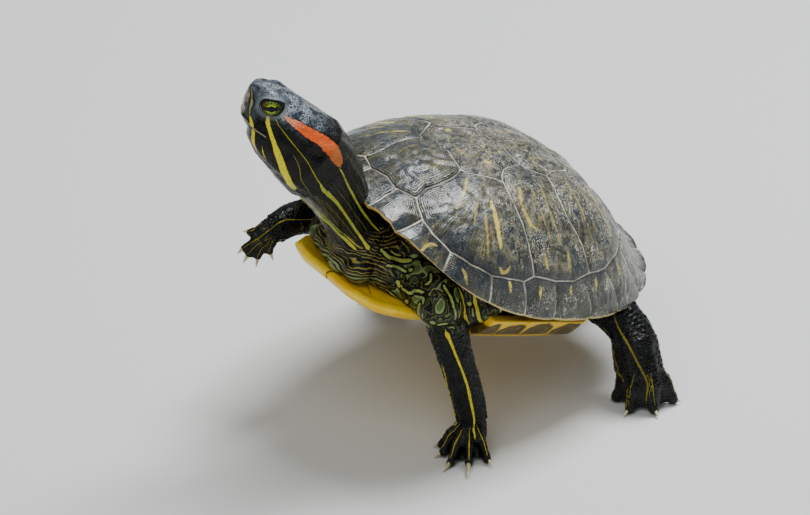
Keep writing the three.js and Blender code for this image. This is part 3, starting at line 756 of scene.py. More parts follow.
# The bridge's blots: how far ahead and how high, then half length and half height, all in millimetres.
BRIDGE_BLOTS = (
    (25.5, -11, 4.2, 5.6), (13.5, -11, 7.2, 5.6), (-1, -10.5, 7.2, 5.6), (-16.5, -10, 7.4, 5.4),
    (-28, -9, 4, 4.6),
)
belly_horn = Paint("belly_horn", 0.24, specular=0.22, coat=0.15, coat_roughness=0.08)
seam_gap, blot, below = belly_horn.parts("belly")
broad = belly_horn.cloud(120, 4, 0.6)
fine = belly_horn.cloud(700, 3, 0.6)
blot_edge = blot + (broad - 0.5) * 4.5
belly_horn.feed("Base Color", belly_horn.layers(
    (0.90, 0.50, 0.003),
    (broad.between(0.35, 0.65), (1.0, 0.70, 0.008)),
    # Painted shade: the underside and the bridge, turned away from the light above, are a darker orange.
    (below * 0.6, (0.72, 0.42, 0.012)),
    (broad.between(0.50, 0.64) * fine.between(0.42, 0.60) * 0.35, (0.62, 0.33, 0.14)),
    (blot_edge.between(-0.5, 0.6) * 0.93, (0.016, 0.013, 0.008)),
    (abs(blot_edge - 2.2).between(0.45, 0.15) * 0.35, (0.30, 0.19, 0.03)),
    (seam_gap.between(0.34, 0.14) * 0.85, (0.07, 0.035, 0.008)),
))
belly_horn.feed("Roughness", fine.mixed(0.24, 0.42))
belly_horn.bump(fine + broad, 0.0002)

BELLY_SIZE = 0.72
BITS = ("front", "middle", "rear")
seam_spots = np.concatenate([finely(half, 0.0015) * LENGTH for half in both_sides(PLASTRON_SEAMS)])
belly_seams = tree_of(np.pad(seam_spots, ((0, 0), (0, 1))))
# The plastron's outline, as its reach from the shell's middle at every five degrees of heading.
outline = []
for bit in BITS:
    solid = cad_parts[f"plastron_{bit}_left"].data
    ends = into_shell_frame(places_of(solid))[edges_of(solid)]
    outline += [ends[:, 0] * share + ends[:, 1] * (1 - share) for share in np.linspace(0, 1, 24)]
outline = np.concatenate(outline)
outline_heading = np.degrees(np.arctan2(outline[:, 1], outline[:, 0]))
outline_reach = np.array([
    np.hypot(*outline[np.abs(outline_heading - n * 5) < 2.5, :2].T).max() for n in range(37)
])
for node_name in [f"plastron_{bit}_{side_name}" for bit in BITS for side_name in SIDES]:
    mesh = voxelled(mesh_of(solid_copy(node_name), node_name), BELLY_SIZE)
    in_shell = into_shell_frame(smoothed(places_of(mesh), edges_of(mesh), 10))
    # The outer edge is turned up below, most of all under the bridge, and drawn in at its rear.
    heading = np.degrees(np.arctan2(np.abs(in_shell[:, 1]), in_shell[:, 0])) / 5
    from_edge = np.interp(heading, np.arange(37), outline_reach)
    from_edge -= np.hypot(in_shell[:, 0], in_shell[:, 1])
    turn_up = np.interp(
        in_shell[:, 0], (-60, -34, -26, 0, 20, 34, 44, 75), (1.5, 2.5, 4.2, 3.2, 3.0, 2.6, 2.4, 2.0),
    )
    in_shell[:, 2] += turn_up * (1 - fade(from_edge, -1.0, 8.0)) * fade(-in_shell[:, 2], 10.5, 18.0)
    tuck = 7.0 * fade(-in_shell[:, 0], 20, 36) * fade(np.abs(in_shell[:, 1]), 34, 44)
    in_shell[:, 1] -= np.sign(in_shell[:, 1]) * tuck
    points = out_of_shell_frame(in_shell)
    move_to(mesh, points)
    ahead_mm, out_mm, up_mm = in_shell[:, 0], np.abs(in_shell[:, 1]), in_shell[:, 2]
    inside = np.full(len(points), -9.0)
    for x, y, long_way, wide_way in PLASTRON_BLOTS:
        off = np.hypot((ahead_mm - x * LENGTH) / long_way, (out_mm - y * LENGTH) / wide_way)
        inside = np.maximum(inside, (1 - off) * min(long_way, wide_way))
    under_side = 1 - fade(up_mm, -17.6, -14.5)
    inside = np.where(under_side > 0.5, inside, -9.0)
    on_bridge = fade(out_mm, 36, 40)
    for x, z, long_way, tall_way in BRIDGE_BLOTS:
        off = np.hypot((ahead_mm - x) / long_way, (up_mm - z) / tall_way)
        inside = np.where(on_bridge > 0.5, np.maximum(inside, (1 - off) * tall_way), inside)
    gap = nearest_in(belly_seams, in_shell * (1, 1, 0))[1]
    drop = -0.32 * hill(gap, 0.7) + 0.035 * np.sin(gap * 5.2) * (1 - fade(gap, 3, 8))
    drop += 0.10 * lumps(in_shell, 7.0, 5)
    move_to(mesh, points + normals_of(mesh) * drop[:, None])
    write_on(mesh, belly=np.stack((gap, inside, np.maximum(under_side, on_bridge)), -1))
    object_of(node_name + "_horn", mesh, belly_horn.material, "plastron", node_name)

# ---------------------------------------------------------------- skin
# One soft, finely granular skin over the head, neck, legs and tail, loose in folds where the neck
# and legs leave the shell. It is black and slate with yellow lines, and a red patch lies behind
# each eye. It is worked from the body's solids, joined and smoothed, then pushed into folds and lids.
FLESH = (
    "trunk", "neck_lower", "neck_upper", "head", "lower_jaw", "tail",
    *(f"front_{side}_{bit}" for side in SIDES for bit in ("upper_arm", "forearm", "forefoot")),
    *(f"hind_{side}_{bit}" for side in SIDES for bit in ("thigh", "shank", "foot")),
)
SKIN_SIZE, SWELLING = 0.95, 0.24
between_eyes = np.array((85.9035, -7.8662, 156.9))
# The head's own ways: forwards, to its left and upwards.
fwd, left, above = (np.array(way) / np.linalg.norm(way) for way in (
    (0.5820, -0.5620, 0.5878), (0.6947, 0.7193, 0.0), (-0.4228, 0.4083, 0.8090),
))
EYE_AHEAD, EYE_OUT, EYE_ABOVE, EYE_RADIUS = -1.5, 3.95, -1.25, 5.0
GAZE = (0.08, 0.99, 0.03)
LID_TILT = math.radians(29)


def eye_middle(side):
    return between_eyes + fwd * EYE_AHEAD + left * (EYE_OUT * side) + above * EYE_ABOVE


# The middle of each foot and the tips of its toes, in millimetres. Then, for its toes: how high the
# knuckles are, how far out, and half the thickness at the knuckle and at the tip.
FEET = {
    "front_left": ((31.0, 43.7, 2.8), (
        (37.5, 34.2, 2), (41.5, 39.2, 2), (44.5, 46.7, 2), (40, 52.2, 2), (32.5, 54.7, 2),
    )),
    "front_right": ((59.5, -41.3, 70.4), (
        (63, -44.9, 72.6), (65.8, -44.7, 66.8), (65, -42.9, 64.6), (62.4, -40.7, 63.4), (58.6, -38.3, 65),
    )),
    "hind_left": ((-42.6, 62.2, 3), (
        (-35.5, 54.7, 2.2), (-33, 64.7, 2.2), (-39.5, 71.7, 2.2), (-50.5, 71.2, 2.2),
    )),
    "hind_right": ((-28.5, -60.8, 3), (
        (-19.5, -55.8, 2.2), (-18.5, -65.8, 2.2), (-24.5, -71.8, 2.2), (-35, -70.8, 2.2),
    )),
}
KNUCKLES = {
    "front_left": ((0, 0, 8.5), 0.34, 2.0, 1.5), "front_right": ((-3.6, 1.0, 1.8), 0.16, 2.0, 1.35),
    "hind_left": ((0, 0, 11.0), 0.52, 2.6, 1.9), "hind_right": ((0, 0, 11.0), 0.52, 2.6, 1.9),
}
TOE_STEPS = 26
toe_spots, toe_halves = [], []
for foot_name, (foot, tips) in FEET.items():
    raised, share_out, knuckle_half, tip_half = KNUCKLES[foot_name]
    on_floor = foot[2] < 20
    for tip in tips:
        way = np.array(tip) - np.array(foot)
        way_out = way / np.linalg.norm(way)
        knuckle = np.array(foot) + way * share_out + np.array(raised)
        end = np.array(tip) + way_out * (0.0 if on_floor else 0.3)
        for k in np.linspace(0, 1, TOE_STEPS):
            arch = np.array((0, 0, 1.6 * math.sin(k * math.pi) if on_floor else 0.0))
            toe_spots.append(knuckle + (end - knuckle) * k + arch)
            knob = 0.14 * math.cos(k * 4 * math.pi)
            toe_halves.append(knuckle_half + (tip_half - knuckle_half) * k + knob)
toe_spots, toe_halves = np.array(toe_spots), np.array(toe_halves)


def add_lump(work, centre, radius, detail=3):
    """Adds a ball. Its place and radius are in millimetres."""
    place = Matrix.Translation(Vector(centre) * MM)
    bmesh.ops.create_icosphere(work, subdivisions=detail, radius=radius * MM, matrix=place)


body = bmesh.new()
for place, half in zip(toe_spots, toe_halves):
    add_lump(body, place, half, 2)
# Loose skin fills the corner between each arm, the bridge and the rim above, and more of it lies on
# the plastron behind the front lip: places in the shell's frame, then the radius.
ARM_CORNER = (
    (36, 36, -6, 7.5), (32, 40, -5, 7.0), (29, 43, -3, 6.0), (26, 45, 0, 5.0), (34, 40, 3, 6.0),
    (30, 44, 5, 4.5), (42, 28, 0, 7.0),
)
BEHIND_LIP = (
    (62, -7, -7, 6), (64.5, 1, -7, 6), (63, 8, -7, 6), (59.5, -14, -7, 6), (56, -20, -7, 6),
    (50, -25, -8.5, 5.5), (51, -7, -5, 8), (53, 1, -5, 8), (52, 7, -5, 8), (49, -14, -5, 8),
    (45, -20, -5, 8), (42, 18, -4.5, 11), (42, 25, -4.5, 11), (42, 32, -4.5, 11), (44.5, 37, -6, 9),
    (50, 12, -6, 8),
)
for side in (1, -1):
    for ahead_by, out, up_by, half in ARM_CORNER:
        add_lump(body, out_of_shell_frame(np.array((ahead_by, out * side, up_by))), half)
for *spot, half in BEHIND_LIP:
    add_lump(body, out_of_shell_frame(np.array(spot)), half)
owners, owner_faces, owner_places = [], [], []
for node_number, node_name in enumerate(FLESH):
    part = solid_copy(node_name, SWELLING)
    first = len(owner_places)
    owner_places += [v.co / MM for v in part.verts]
    owner_faces += [[first + v.index for v in face.verts] for face in part.faces]
    owners += [node_number] * len(part.faces)
    body.from_mesh(mesh_of(part, "part"))
solids = BVHTree.FromPolygons(owner_places, owner_faces)
owners = np.array(owners)
for side in (1, -1):
    add_lump(body, eye_middle(side), EYE_RADIUS + 0.3, 4)
skin_mesh = voxelled(mesh_of(body, "rough"), SKIN_SIZE)


def owners_of(points):
    """Which solid of the body is nearest to each place."""
    return owners[[solids.find_nearest(Vector(p))[2] for p in points]]


def spread(values, ends, rounds):
    """Blurs a number over the skin."""
    return smoothed(np.repeat(values[:, None], 3, 1), ends, rounds, 0.5)[:, 0]


# Only the outer sheet is kept, and what lies deep inside the shell is thinned out.
work = bmesh.new()
work.from_mesh(skin_mesh)
seen, biggest = set(), []
for vert in work.verts:
    if vert in seen:
        continue
    # The island grows while it is walked, until no neighbour is left.
    island = [vert]
    seen.add(vert)
    for here in island:
        for line_edge in here.link_edges:
            there = line_edge.other_vert(here)
            if there not in seen:
                seen.add(there)
                island.append(there)
    if len(island) > len(biggest):
        biggest = island
keep = set(biggest)
bmesh.ops.delete(work, geom=[v for v in work.verts if v not in keep], context="VERTS")
work.to_mesh(skin_mesh)
work.free()
ends = edges_of(skin_mesh)
points = smoothed(places_of(skin_mesh), ends, 7)
limbs = [i for i, name in enumerate(FLESH) if name.endswith(("arm", "thigh", "shank", "tail"))]
toe_tree = tree_of(toe_spots)
toe_gap = nearest_in(toe_tree, points)[1]
limb_share = spread(np.isin(owners_of(points), limbs) * fade(toe_gap, 2.5, 6), ends, 8)
points = smoothed(points, ends, 45, share=limb_share[:, None])
points = smoothed(points, ends, 6, share=np.clip(fade(toe_gap, 2.2, 4)[:, None] + 0.15, 0, 1))
in_shell = into_shell_frame(points)
plan_share, plan_turn = share_and_turn(in_shell / LENGTH)
below_roof = dome(np.minimum(plan_share, 1), plan_turn)[:, 2] - in_shell[:, 2]
deep = (plan_share < 0.80) & (below_roof > 2) & (below_roof < 10) & (in_shell[:, 2] > -6)
deep |= (plan_share < 0.78) & (in_shell[:, 2] < -9) & (in_shell[:, 2] > -16)
deep |= (plan_share < 0.88) & (np.abs(in_shell[:, 0]) < 27) & (in_shell[:, 2] > -16)
move_to(skin_mesh, points)
lump = in_scene("lump", skin_mesh)
lump.vertex_groups.new(name="deep").add([int(i) for i in np.flatnonzero(deep)], 1.0, "REPLACE")
thin = lump.modifiers.new("thin", "DECIMATE")
thin.vertex_group, thin.ratio = "deep", 1 - 0.93 * float(deep.mean())
skin_mesh = evaluated(lump)

# The line that the neck and head are threaded on, and places round it.
NECK_LINE = np.array((
    (40, 0.7, 72), (48, 0.7, 84), (53.3, 0.7, 94.4), (59.1, 1.2, 105.7), (65.8, 1.7, 117.8),
    (74.3, 0.7, 131.3), (80.5, -2.6, 140.1), (84.4, -6.4, 146.2), (88.4, -10.2, 152.2),
    (91.2, -12.9, 154.7), (94.0, -15.7, 156.7),
))
neck_steps = np.diff(NECK_LINE, axis=0)
neck_lengths = np.linalg.norm(neck_steps, axis=1)
neck_marks = np.concatenate(([0], np.cumsum(neck_lengths)))


def neck_frame(s):
    """The place on the line, and the ways along it, to the back and to the left."""
    s = np.atleast_1d(s)
    place = np.stack([np.interp(s, neck_marks, NECK_LINE[:, k]) for k in range(3)], -1)
    k = np.clip(np.searchsorted(neck_marks, s, "right") - 1, 0, len(neck_steps) - 1)
    along = neck_steps[k] / neck_lengths[k][:, None]
    turn_share = np.clip((s - 20) / (79.9 - 20), 0, 1)[:, None]
    ref = np.array((-0.86, 0, 0.5)) * (1 - turn_share) + above * turn_share
    ref = ref - along * (ref * along).sum(1)[:, None]
    ref /= np.linalg.norm(ref, axis=1)[:, None]
    return place, along, ref, np.cross(ref, along)


def round_neck(points):
    """How far along the line each place lies, how far round it from the back, and how far off it."""
    best = np.full(len(points), 1e9)
    s = np.zeros(len(points))
    for i, step in enumerate(neck_steps):
        share = np.clip(((points - NECK_LINE[i]) @ step) / neck_lengths[i] ** 2, 0, 1)
        away = np.linalg.norm(points - NECK_LINE[i] - share[:, None] * step, axis=1)
        s = np.where(away < best, neck_marks[i] + share * neck_lengths[i], s)
        best = np.minimum(best, away)
    place, along, ref, lateral = neck_frame(s)
    out = points - place
    phi = np.arctan2((out * lateral).sum(1), (out * ref).sum(1))
    return s, phi, best


# The head, neck and shoulders are given a mesh twice as fine.
points = places_of(skin_mesh)
s, _, off_line = round_neck(points)
fine_zone = (s > 14) & (off_line < 26)
fine_zone |= (points[:, 0] > 28) & (points[:, 1] > 8) & (points[:, 2] > 46) & (points[:, 2] < 92)
work = bmesh.new()
work.from_mesh(skin_mesh)
work.verts.ensure_lookup_table()
split = [e for e in work.edges if fine_zone[e.verts[0].index] and fine_zone[e.verts[1].index]]
bmesh.ops.subdivide_edges(work, edges=split, cuts=1, use_grid_fill=True)
bmesh.ops.triangulate(work, faces=[f for f in work.faces if len(f.verts) > 4])
work.to_mesh(skin_mesh)
work.free()
ends = edges_of(skin_mesh)
points = smoothed(places_of(skin_mesh), ends, 6)
points[:, 2] = np.maximum(points[:, 2], 0.05)
move_to(skin_mesh, points)


def faces_of(mesh):
    """A tree of the mesh's faces, for finding places on them."""
    work = bmesh.new()
    work.from_mesh(mesh)
    tree = BVHTree.FromBMesh(work)
    work.free()
    return tree


smooth_skin = faces_of(skin_mesh)
# Rays towards the neck start this far from its line and go this deep, in metres.
OUTSIDE, DEEPEST = 0.04, 0.06


def on_skin(place):
    """The nearest place on the skin, and which way it faces there."""
    hit = smooth_skin.find_nearest(Vector(place) * MM)
    return np.array(hit[0]) / MM, np.array(hit[1])


def on_neck(s, degrees, side):
    """A place on the neck or head: so far along it, so far round it from the top of the back."""
    place, _, ref, lateral = (v[0] for v in neck_frame(s))
    a = math.radians(degrees)
    way = Vector(ref * math.cos(a) + lateral * math.sin(a) * side)
    hit = smooth_skin.ray_cast(Vector(place) * MM + way * OUTSIDE, -way, DEEPEST)
    return np.array(hit[0]) / MM if hit[0] is not None else place


# Lines on the neck and head: how far along, how many degrees round from the back, half width (mm).
CHEEK = ((95.6, 84, 0.5), (93.5, 88, 0.75), (91.9, 92, 0.8), (87.5, 102, 0.9), (83.5, 108, 0.98),
         (80.2, 111, 1.1), (77.5, 118, 1.3), (74.8, 124, 1.6), (71.0, 131, 1.75), (67.6, 138, 1.6),
         (66.0, 141, 0.8))
THIN_FRONT = ((91.2, 74, 0.09), (87.3, 76, 0.11), (84.5, 78, 0.20), (82, 79, 0.13), (75.9, 86, 0.12),
              (70, 95, 0.15), (65, 102, 0.20))
THIN_LINE = ((66, 101, 0.15), (64, 103, 0.35), (60.7, 106, 0.90), (57, 109, 0.95), (52, 110, 0.62),
             (45.1, 112, 0.55), (32.2, 115, 0.52), (22, 114, 0.45), (18, 113, 0.9))
BEHIND_RED = ((64.3, 67, 0.30), (58, 74, 0.42), (52.6, 80, 0.48), (45, 82, 0.46), (38.8, 82, 0.48),
              (30, 79, 0.42), (21, 76, 0.3))
JAW_TOP = ((105.0, 8, 0.24), (104.6, 24, 0.30), (104.0, 48, 0.36), (103.3, 76, 0.42), (102.3, 98, 0.44),
           (101.2, 112, 0.45))
JAW = ((101.0, 113, 0.4), (99.0, 121, 0.85), (96.5, 127, 0.95), (93.1, 134, 0.9), (89, 141, 0.8),
       (86.2, 146, 0.45))
CHIN = ((87.0, 158, 0.25), (82, 164, 0.4), (76, 167, 0.45), (70, 170, 0.5), (66.5, 173, 0.4))
THROAT = ((66, 178, 0.5), (60, 177, 1.05), (53.7, 175, 1.05), (45, 170, 1.0), (36.8, 164, 1.0),
          (31.5, 158, 0.9), (26, 147, 0.8), (20, 134, 0.5))
THROAT_MIDDLE = ((100.5, 180, 0.4), (96, 180, 0.6), (90, 180, 0.6), (84, 180, 0.5), (76, 180, 0.4),
                 (68, 180, 0.2))
THROAT_SIDE = ((60, 162, 0.2), (52, 163, 0.42), (42, 158, 0.45), (34, 150, 0.42), (27, 139, 0.4),
               (21, 128, 0.3))
DASH = ((86.8, 126, 0.2), (86.2, 128, 0.42), (84, 130.5, 0.45), (82.5, 132, 0.2))
FAINT = (
    ((79.5, 95, 0.10), (75.6, 100, 0.13), (69, 113, 0.14), (63.9, 122, 0.15), (56, 131, 0.16),
     (46, 137, 0.15), (36, 139, 0.14)),
    ((50, 64, 0.10), (40, 66, 0.13), (28, 62, 0.12)),
    ((56, 94, 0.10), (46, 97, 0.14), (36, 98, 0.15), (26, 95, 0.14)),
    ((66, 44, 0.08), (52, 50, 0.11), (42, 52, 0.12), (30, 50, 0.12)),
    ((58, 150, 0.12), (46, 153, 0.15), (36, 150, 0.15), (27, 140, 0.14)),
    ((54, 122, 0.12), (44, 126, 0.14), (33, 127, 0.14), (25, 124, 0.13)),
)
RED = ((89.8, 55, 0.5), (88.6, 54, 0.9), (87.0, 53, 1.3), (84.5, 51, 1.6), (81, 49.5, 1.9),
       (77.5, 49, 2.2), (73, 51.5, 2.45), (69.5, 55, 2.35), (66.5, 60, 1.8), (64.8, 63.5, 0.9))

# Lines down the legs, in the frame: each place, then the half width.
FRONT_LEFT_LINES = (
    ((43.9, 43.7, 58.6, 0.85), (43.6, 44.0, 57.2, 1.0), (43.0, 44.8, 55.0, 0.6), (42.3, 45.3, 52.5, 0.45),
     (40.4, 46.2, 46.0, 0.42), (38.4, 46.7, 40.5, 0.40), (36.0, 47.0, 33.2, 0.48),
     (34.6, 47.2, 26.9, 0.55),
     (33.2, 47.4, 20.3, 0.40), (32.5, 47.7, 14.9, 0.28), (34.5, 47.1, 6.2, 0.32), (39.8, 51.0, 3.4, 0.3)),
    ((42.7, 40.8, 41.9, 0.2), (39.6, 40.4, 34.0, 0.36), (36.4, 40.0, 26.0, 0.42), (34.3, 40.0, 17.0, 0.4),
     (34.0, 40.0, 11.0, 0.3)),
    ((36.0, 38.5, 60.0, 0.2), (33.0, 38.0, 48.0, 0.3), (29.0, 39.0, 34.0, 0.3), (26.0, 39.0, 18.0, 0.3)),
)
FRONT_RIGHT_LINES = (
    ((38.0, -32.0, 74.0, 0.15), (43.3, -33.0, 75.2, 0.2), (49.1, -34.1, 77.1, 0.2),
     (53.5, -36.1, 77.8, 0.22),
     (57.0, -36.8, 76.7, 0.22), (60.1, -37.4, 75.0, 0.2), (62.9, -38.9, 72.9, 0.18),
     (63.7, -41.9, 69.7, 0.15)),
    ((41.0, -45.0, 72.0, 0.2), (47.0, -45.5, 73.5, 0.26), (54.0, -45.6, 73.0, 0.26),
     (60.0, -46.0, 70.0, 0.2)),
)
HIND_LINES = (
    ((-37.0, 52.0, 36.0, 0.3), (-37.3, 54.4, 31.2, 0.4), (-36.3, 60.9, 27.7, 0.42),
     (-36.9, 65.8, 20.7, 0.4),
     (-38.5, 69.6, 13.0, 0.36), (-36.0, 70.0, 5.0, 0.3)),
    ((-48.0, 46.0, 30.0, 0.3), (-50.0, 54.0, 22.0, 0.4), (-51.0, 60.0, 12.0, 0.4),
     (-48.0, 64.0, 5.0, 0.3)),
    ((-30.0, 48.0, 28.0, 0.25), (-27.5, 55.0, 20.0, 0.35), (-27.5, 60.0, 11.0, 0.35),
     (-26.0, 63.0, 5.0, 0.25)),
)
HIND_RIGHT_LINES = (
    ((-27.0, -50.0, 48.0, 0.3), (-27.0, -60.0, 34.0, 0.4), (-28.5, -66.0, 20.0, 0.4),
     (-27.0, -69.0, 7.0, 0.3)),
    ((-38.0, -48.0, 40.0, 0.3), (-38.0, -56.0, 28.0, 0.4), (-40.0, -62.0, 14.0, 0.4),
     (-36.0, -66.0, 5.0, 0.3)),
)
TAIL_LINES = (
    ((-60.0, 6.0, 35.5, 0.5), (-72.0, 4.0, 27.5, 0.5), (-84.0, 0.8, 20.0, 0.4),
     (-94.0, -4.0, 14.0, 0.25)),
    ((-60.0, -8.0, 35.5, 0.5), (-72.0, -6.0, 27.5, 0.5), (-84.0, -6.6, 20.0, 0.4),
     (-94.0, -8.6, 14.0, 0.25)),
)
# Blots and loops on the neck's root and the shoulder.
SHOULDER_MARKS = (
    ((39.2, 23.0, 72.4, 1.35), (39.0, 23.5, 70.9, 1.5)),
    ((48.0, 13.0, 82.6, 0.6), (44.6, 13.5, 77.8, 0.75), (42.2, 15.6, 76.6, 0.9), (40.9, 18.9, 76.7, 0.9),
     (39.4, 20.4, 77.6, 0.8)),
    ((45.9, 13.1, 74.2, 0.45), (43.7, 16.3, 74.7, 0.55), (42.5, 19.6, 74.5, 0.5),
     (41.3, 21.5, 73.0, 0.4)),
    ((45.2, 17.8, 71.1, 0.7), (44.2, 20.0, 70.6, 1.0), (42.8, 21.2, 68.7, 0.9)),
    ((40.6, 23.5, 65.9, 0.75), (42.4, 26.0, 66.4, 0.8)),
    ((41.3, 22.0, 69.2, 0.45), (41.3, 25.7, 68.2, 0.6), (43.8, 31.9, 70.3, 0.6), (43.3, 33.2, 70.6, 0.5)),
    ((44.0, 35.2, 67.0, 1.0), (44.7, 34.7, 65.3, 1.1), (44.8, 33.0, 62.8, 0.6), (45.1, 33.1, 61.1, 0.5),
     (45.5, 35.1, 59.6, 0.5), (45.8, 37.3, 58.4, 0.4)),
    ((44.7, 39.7, 61.5, 0.4), (43.8, 40.2, 62.5, 0.42), (43.0, 41.6, 62.8, 0.42),
     (42.6, 43.0, 61.7, 0.4)),
    ((38.6, 30.6, 74.3, 0.5), (40.2, 33.2, 73.1, 0.5), (41.7, 33.4, 71.9, 0.55),
     (41.9, 31.8, 71.7, 0.45)),
    ((38.9, 36.4, 73.1, 0.45), (39.9, 38.4, 70.7, 0.6), (40.4, 40.2, 67.3, 0.55), (40.1, 42.2, 64.4, 0.5),
     (39.9, 43.4, 62.6, 0.45)),
    ((37.0, 41.8, 68.1, 0.4), (37.5, 43.2, 65.2, 0.42), (38.3, 44.3, 62.4, 0.38)),
    ((29.3, 39.5, 66.1, 0.8), (27.0, 38.0, 61.0, 0.8), (25.0, 36.0, 56.0, 0.7)),
    ((48.6, 12.3, 69.1, 0.45), (48.1, 14.5, 67.6, 0.45), (47.3, 17.4, 65.6, 0.42),
     (45.6, 19.3, 63.6, 0.4)),
    ((49.0, 12.8, 83.7, 0.8), (47.6, 13.1, 82.1, 0.75)),
    ((44.2, 13.2, 81.6, 0.35), (41.7, 13.3, 78.1, 0.38), (40.5, 15.6, 78.5, 0.35)),
    ((47.5, 16.0, 62.5, 0.35), (45.5, 22.0, 61.5, 0.4), (45.5, 27.0, 60.5, 0.35)),
    ((33.0, 27.0, 78.0, 0.5), (30.0, 32.0, 75.0, 0.5), (30.0, 37.0, 71.0, 0.45)),
)
# Yellow lines on the loose skin between the arm and the bridge, in the shell's frame.
ARM_CORNER_LINES = (
    ((38, 43, 6, 0.4), (35, 44, 0, 0.6), (32, 46, -5, 0.7), (28, 48, -9, 0.6)),
    ((33, 46, 7, 0.4), (28, 48, 3, 0.5), (25, 50, -1, 0.5)),
    ((42, 40, 4, 0.3), (39, 41, -3, 0.4), (36, 43, -9, 0.4)),
)


def evened(path, rounds=1):
    """Takes the corners off a path. Its ends stay."""
    for _ in range(rounds):
        path[1:-1] = path[1:-1] * 0.5 + (path[:-2] + path[2:]) * 0.25
    return path


def run_of(places_and_halves, strength=1.0):
    """A line's places every 0.3 mm, its half widths, its way, the skin's way out and its strength."""
    curve = finely(evened(finely(np.array(places_and_halves, float), 1.6), 2), 0.3)
    way = np.gradient(curve[:, :3], axis=0)
    way /= np.linalg.norm(way, axis=1)[:, None] + 1e-9
    landed = [on_skin(p) for p in curve[:, :3]]
    place = np.array([p for p, _ in landed])
    out = np.array([n for _, n in landed])
    from_end = np.minimum(np.arange(len(curve)), np.arange(len(curve))[::-1]) * 0.3
    half = curve[:, 3] * np.sqrt(np.clip((from_end + 0.03) / 0.9, 0.02, 1))
    return place, half, way, out, np.full(len(curve), strength)


def marked(runs, points):
    """Across the nearest line in half widths, how far from its edge, and how strong it is."""
    place, half, way, out, strength = (np.concatenate(column) for column in zip(*runs))
    i, distance = nearest_in(tree_of(place), points)
    side = np.cross(way[i], out[i])
    across_it = ((points - place[i]) * side).sum(1)
    rest = np.sqrt(np.maximum(distance ** 2 - across_it ** 2, 0))
    past_end = np.where(rest > 0.6, rest, 0)
    share = np.where(across_it < 0, -1, 1) * np.hypot(across_it, past_end) / np.maximum(half[i], 0.03)
    return np.stack((np.clip(share, -4, 4), distance - half[i], strength[i]), -1)


def neck_run(line, side, strength=1.0):
    return run_of([(*on_neck(a, d, side), half) for a, d, half in line], strength)


NECK_MIDDLE = 0.73
main_runs, extra_runs, red_runs, blot_runs = [], [], [], []
for side in (1, -1):
    main_runs += [neck_run(line, side) for line in (CHEEK, THIN_LINE, BEHIND_RED, JAW, THROAT)]
    main_runs.append(neck_run(JAW_TOP, side, 0.5))
    extra_runs.append(neck_run(THIN_FRONT, side, 0.55))
    extra_runs.append(neck_run(THROAT_SIDE, side, 0.8))
    extra_runs += [neck_run(line, side, 0.3) for line in FAINT]
    extra_runs += [neck_run(CHIN, side, 0.8), neck_run(DASH, side, 0.8)]
    red_runs.append(neck_run(RED, side))
    to_side = (0, NECK_MIDDLE * (1 - side), 0, 0)
    blot_runs += [run_of(np.array(mark) * (1, side, 1, 1) + to_side) for mark in SHOULDER_MARKS]
extra_runs.append(neck_run(THROAT_MIDDLE, 1, 0.7))
main_runs += [run_of(line) for line in (*FRONT_LEFT_LINES, *TAIL_LINES)]
main_runs += [run_of(line, 0.45) for line in FRONT_RIGHT_LINES]
extra_runs += [run_of(line, 0.28) for line in (*HIND_LINES, *HIND_RIGHT_LINES)]
for n, toe_middle in enumerate(toe_spots.reshape(-1, TOE_STEPS, 3)):
    in_air = 5 <= n < 10
    on_top = toe_middle + ((0.9, 0.9, 1.2) if in_air else (0.2, 0.2, 3.0))
    halves = np.interp(np.arange(TOE_STEPS), (3, 8, 22, 25), (0.08, 0.22, 0.2, 0.08))
    halves = halves * (0.7 if in_air else 1.0)
    extra_runs.append(run_of(np.column_stack((on_top, halves))[3:], 0.6 if n < 5 else 0.3))
for side in (1, -1):
    for line in map(np.array, ARM_CORNER_LINES):
        placed = out_of_shell_frame(line[:, :3] * (1, side, 1))
        main_runs.append(run_of(np.column_stack((placed, line[:, 3])), 0.9))

points, normals = places_of(skin_mesh), normals_of(skin_mesh)
main_mark, extra_mark, red_mark, blot_mark = (
    marked(runs, points) for runs in (main_runs, extra_runs, red_runs, blot_runs)
)
s, phi, off_line = round_neck(points)
red_mark[:, 2] = s
names = np.array(FLESH)[owners_of(points)]
is_leg = np.array([n.startswith(("front", "hind")) for n in names])
is_foot = np.array([n.endswith("foot") for n in names])
is_head = np.isin(names, ("head", "lower_jaw"))

# Mouth, nostrils, brow, ear and the ridge of the snout, in the head's own frame.
from_eyes = points - between_eyes
ahead_mm, out_mm, up_mm = from_eyes @ fwd, np.abs(from_eyes @ left), from_eyes @ above
mouth_level = np.interp(
    ahead_mm, (-16, -10, -6.3, -2, 2, 5, 8), (-10.9, -11.2, -11.6, -12.3, -12.6, -12.3, -13.2),
)
from_mouth = up_mm - mouth_level
mouth_reach = fade(ahead_mm, -6.4, -4.8) * is_head
lift = mouth_reach * (-0.55 * hill(from_mouth, 0.32))
lift += mouth_reach * 0.30 * hill(from_mouth - 0.85, 0.6)
below_gape = fade(-from_mouth, 0.0, 0.5) * (1 - fade(-from_mouth, 1.8, 4.0))
lift -= mouth_reach * 0.45 * below_gape * fade(ahead_mm, -8, 0)
nostril = np.sqrt((ahead_mm - 7.9) ** 2 + (out_mm - 2.0) ** 2 + (up_mm + 0.4) ** 2)
lift -= 1.0 * hill(nostril, 0.62) - 0.16 * hill(nostril - 1.2, 0.5)
brow = np.sqrt(((ahead_mm + 0.6) / 4.2) ** 2 + ((out_mm - 4.9) / 1.8) ** 2 + ((up_mm - 4.2) / 1.6) ** 2)
lift += 0.40 * hill(brow, 1)
ear = np.sqrt((ahead_mm + 12.5) ** 2 + (up_mm + 5.5) ** 2)
lift += np.where(out_mm > 5, 0.22 * hill(ear - 3.2, 0.6) - 0.18 * hill(ear, 2.4), 0)
ridge = fade(ahead_mm, 1, 6) * is_head * fade(up_mm, -2, 1)
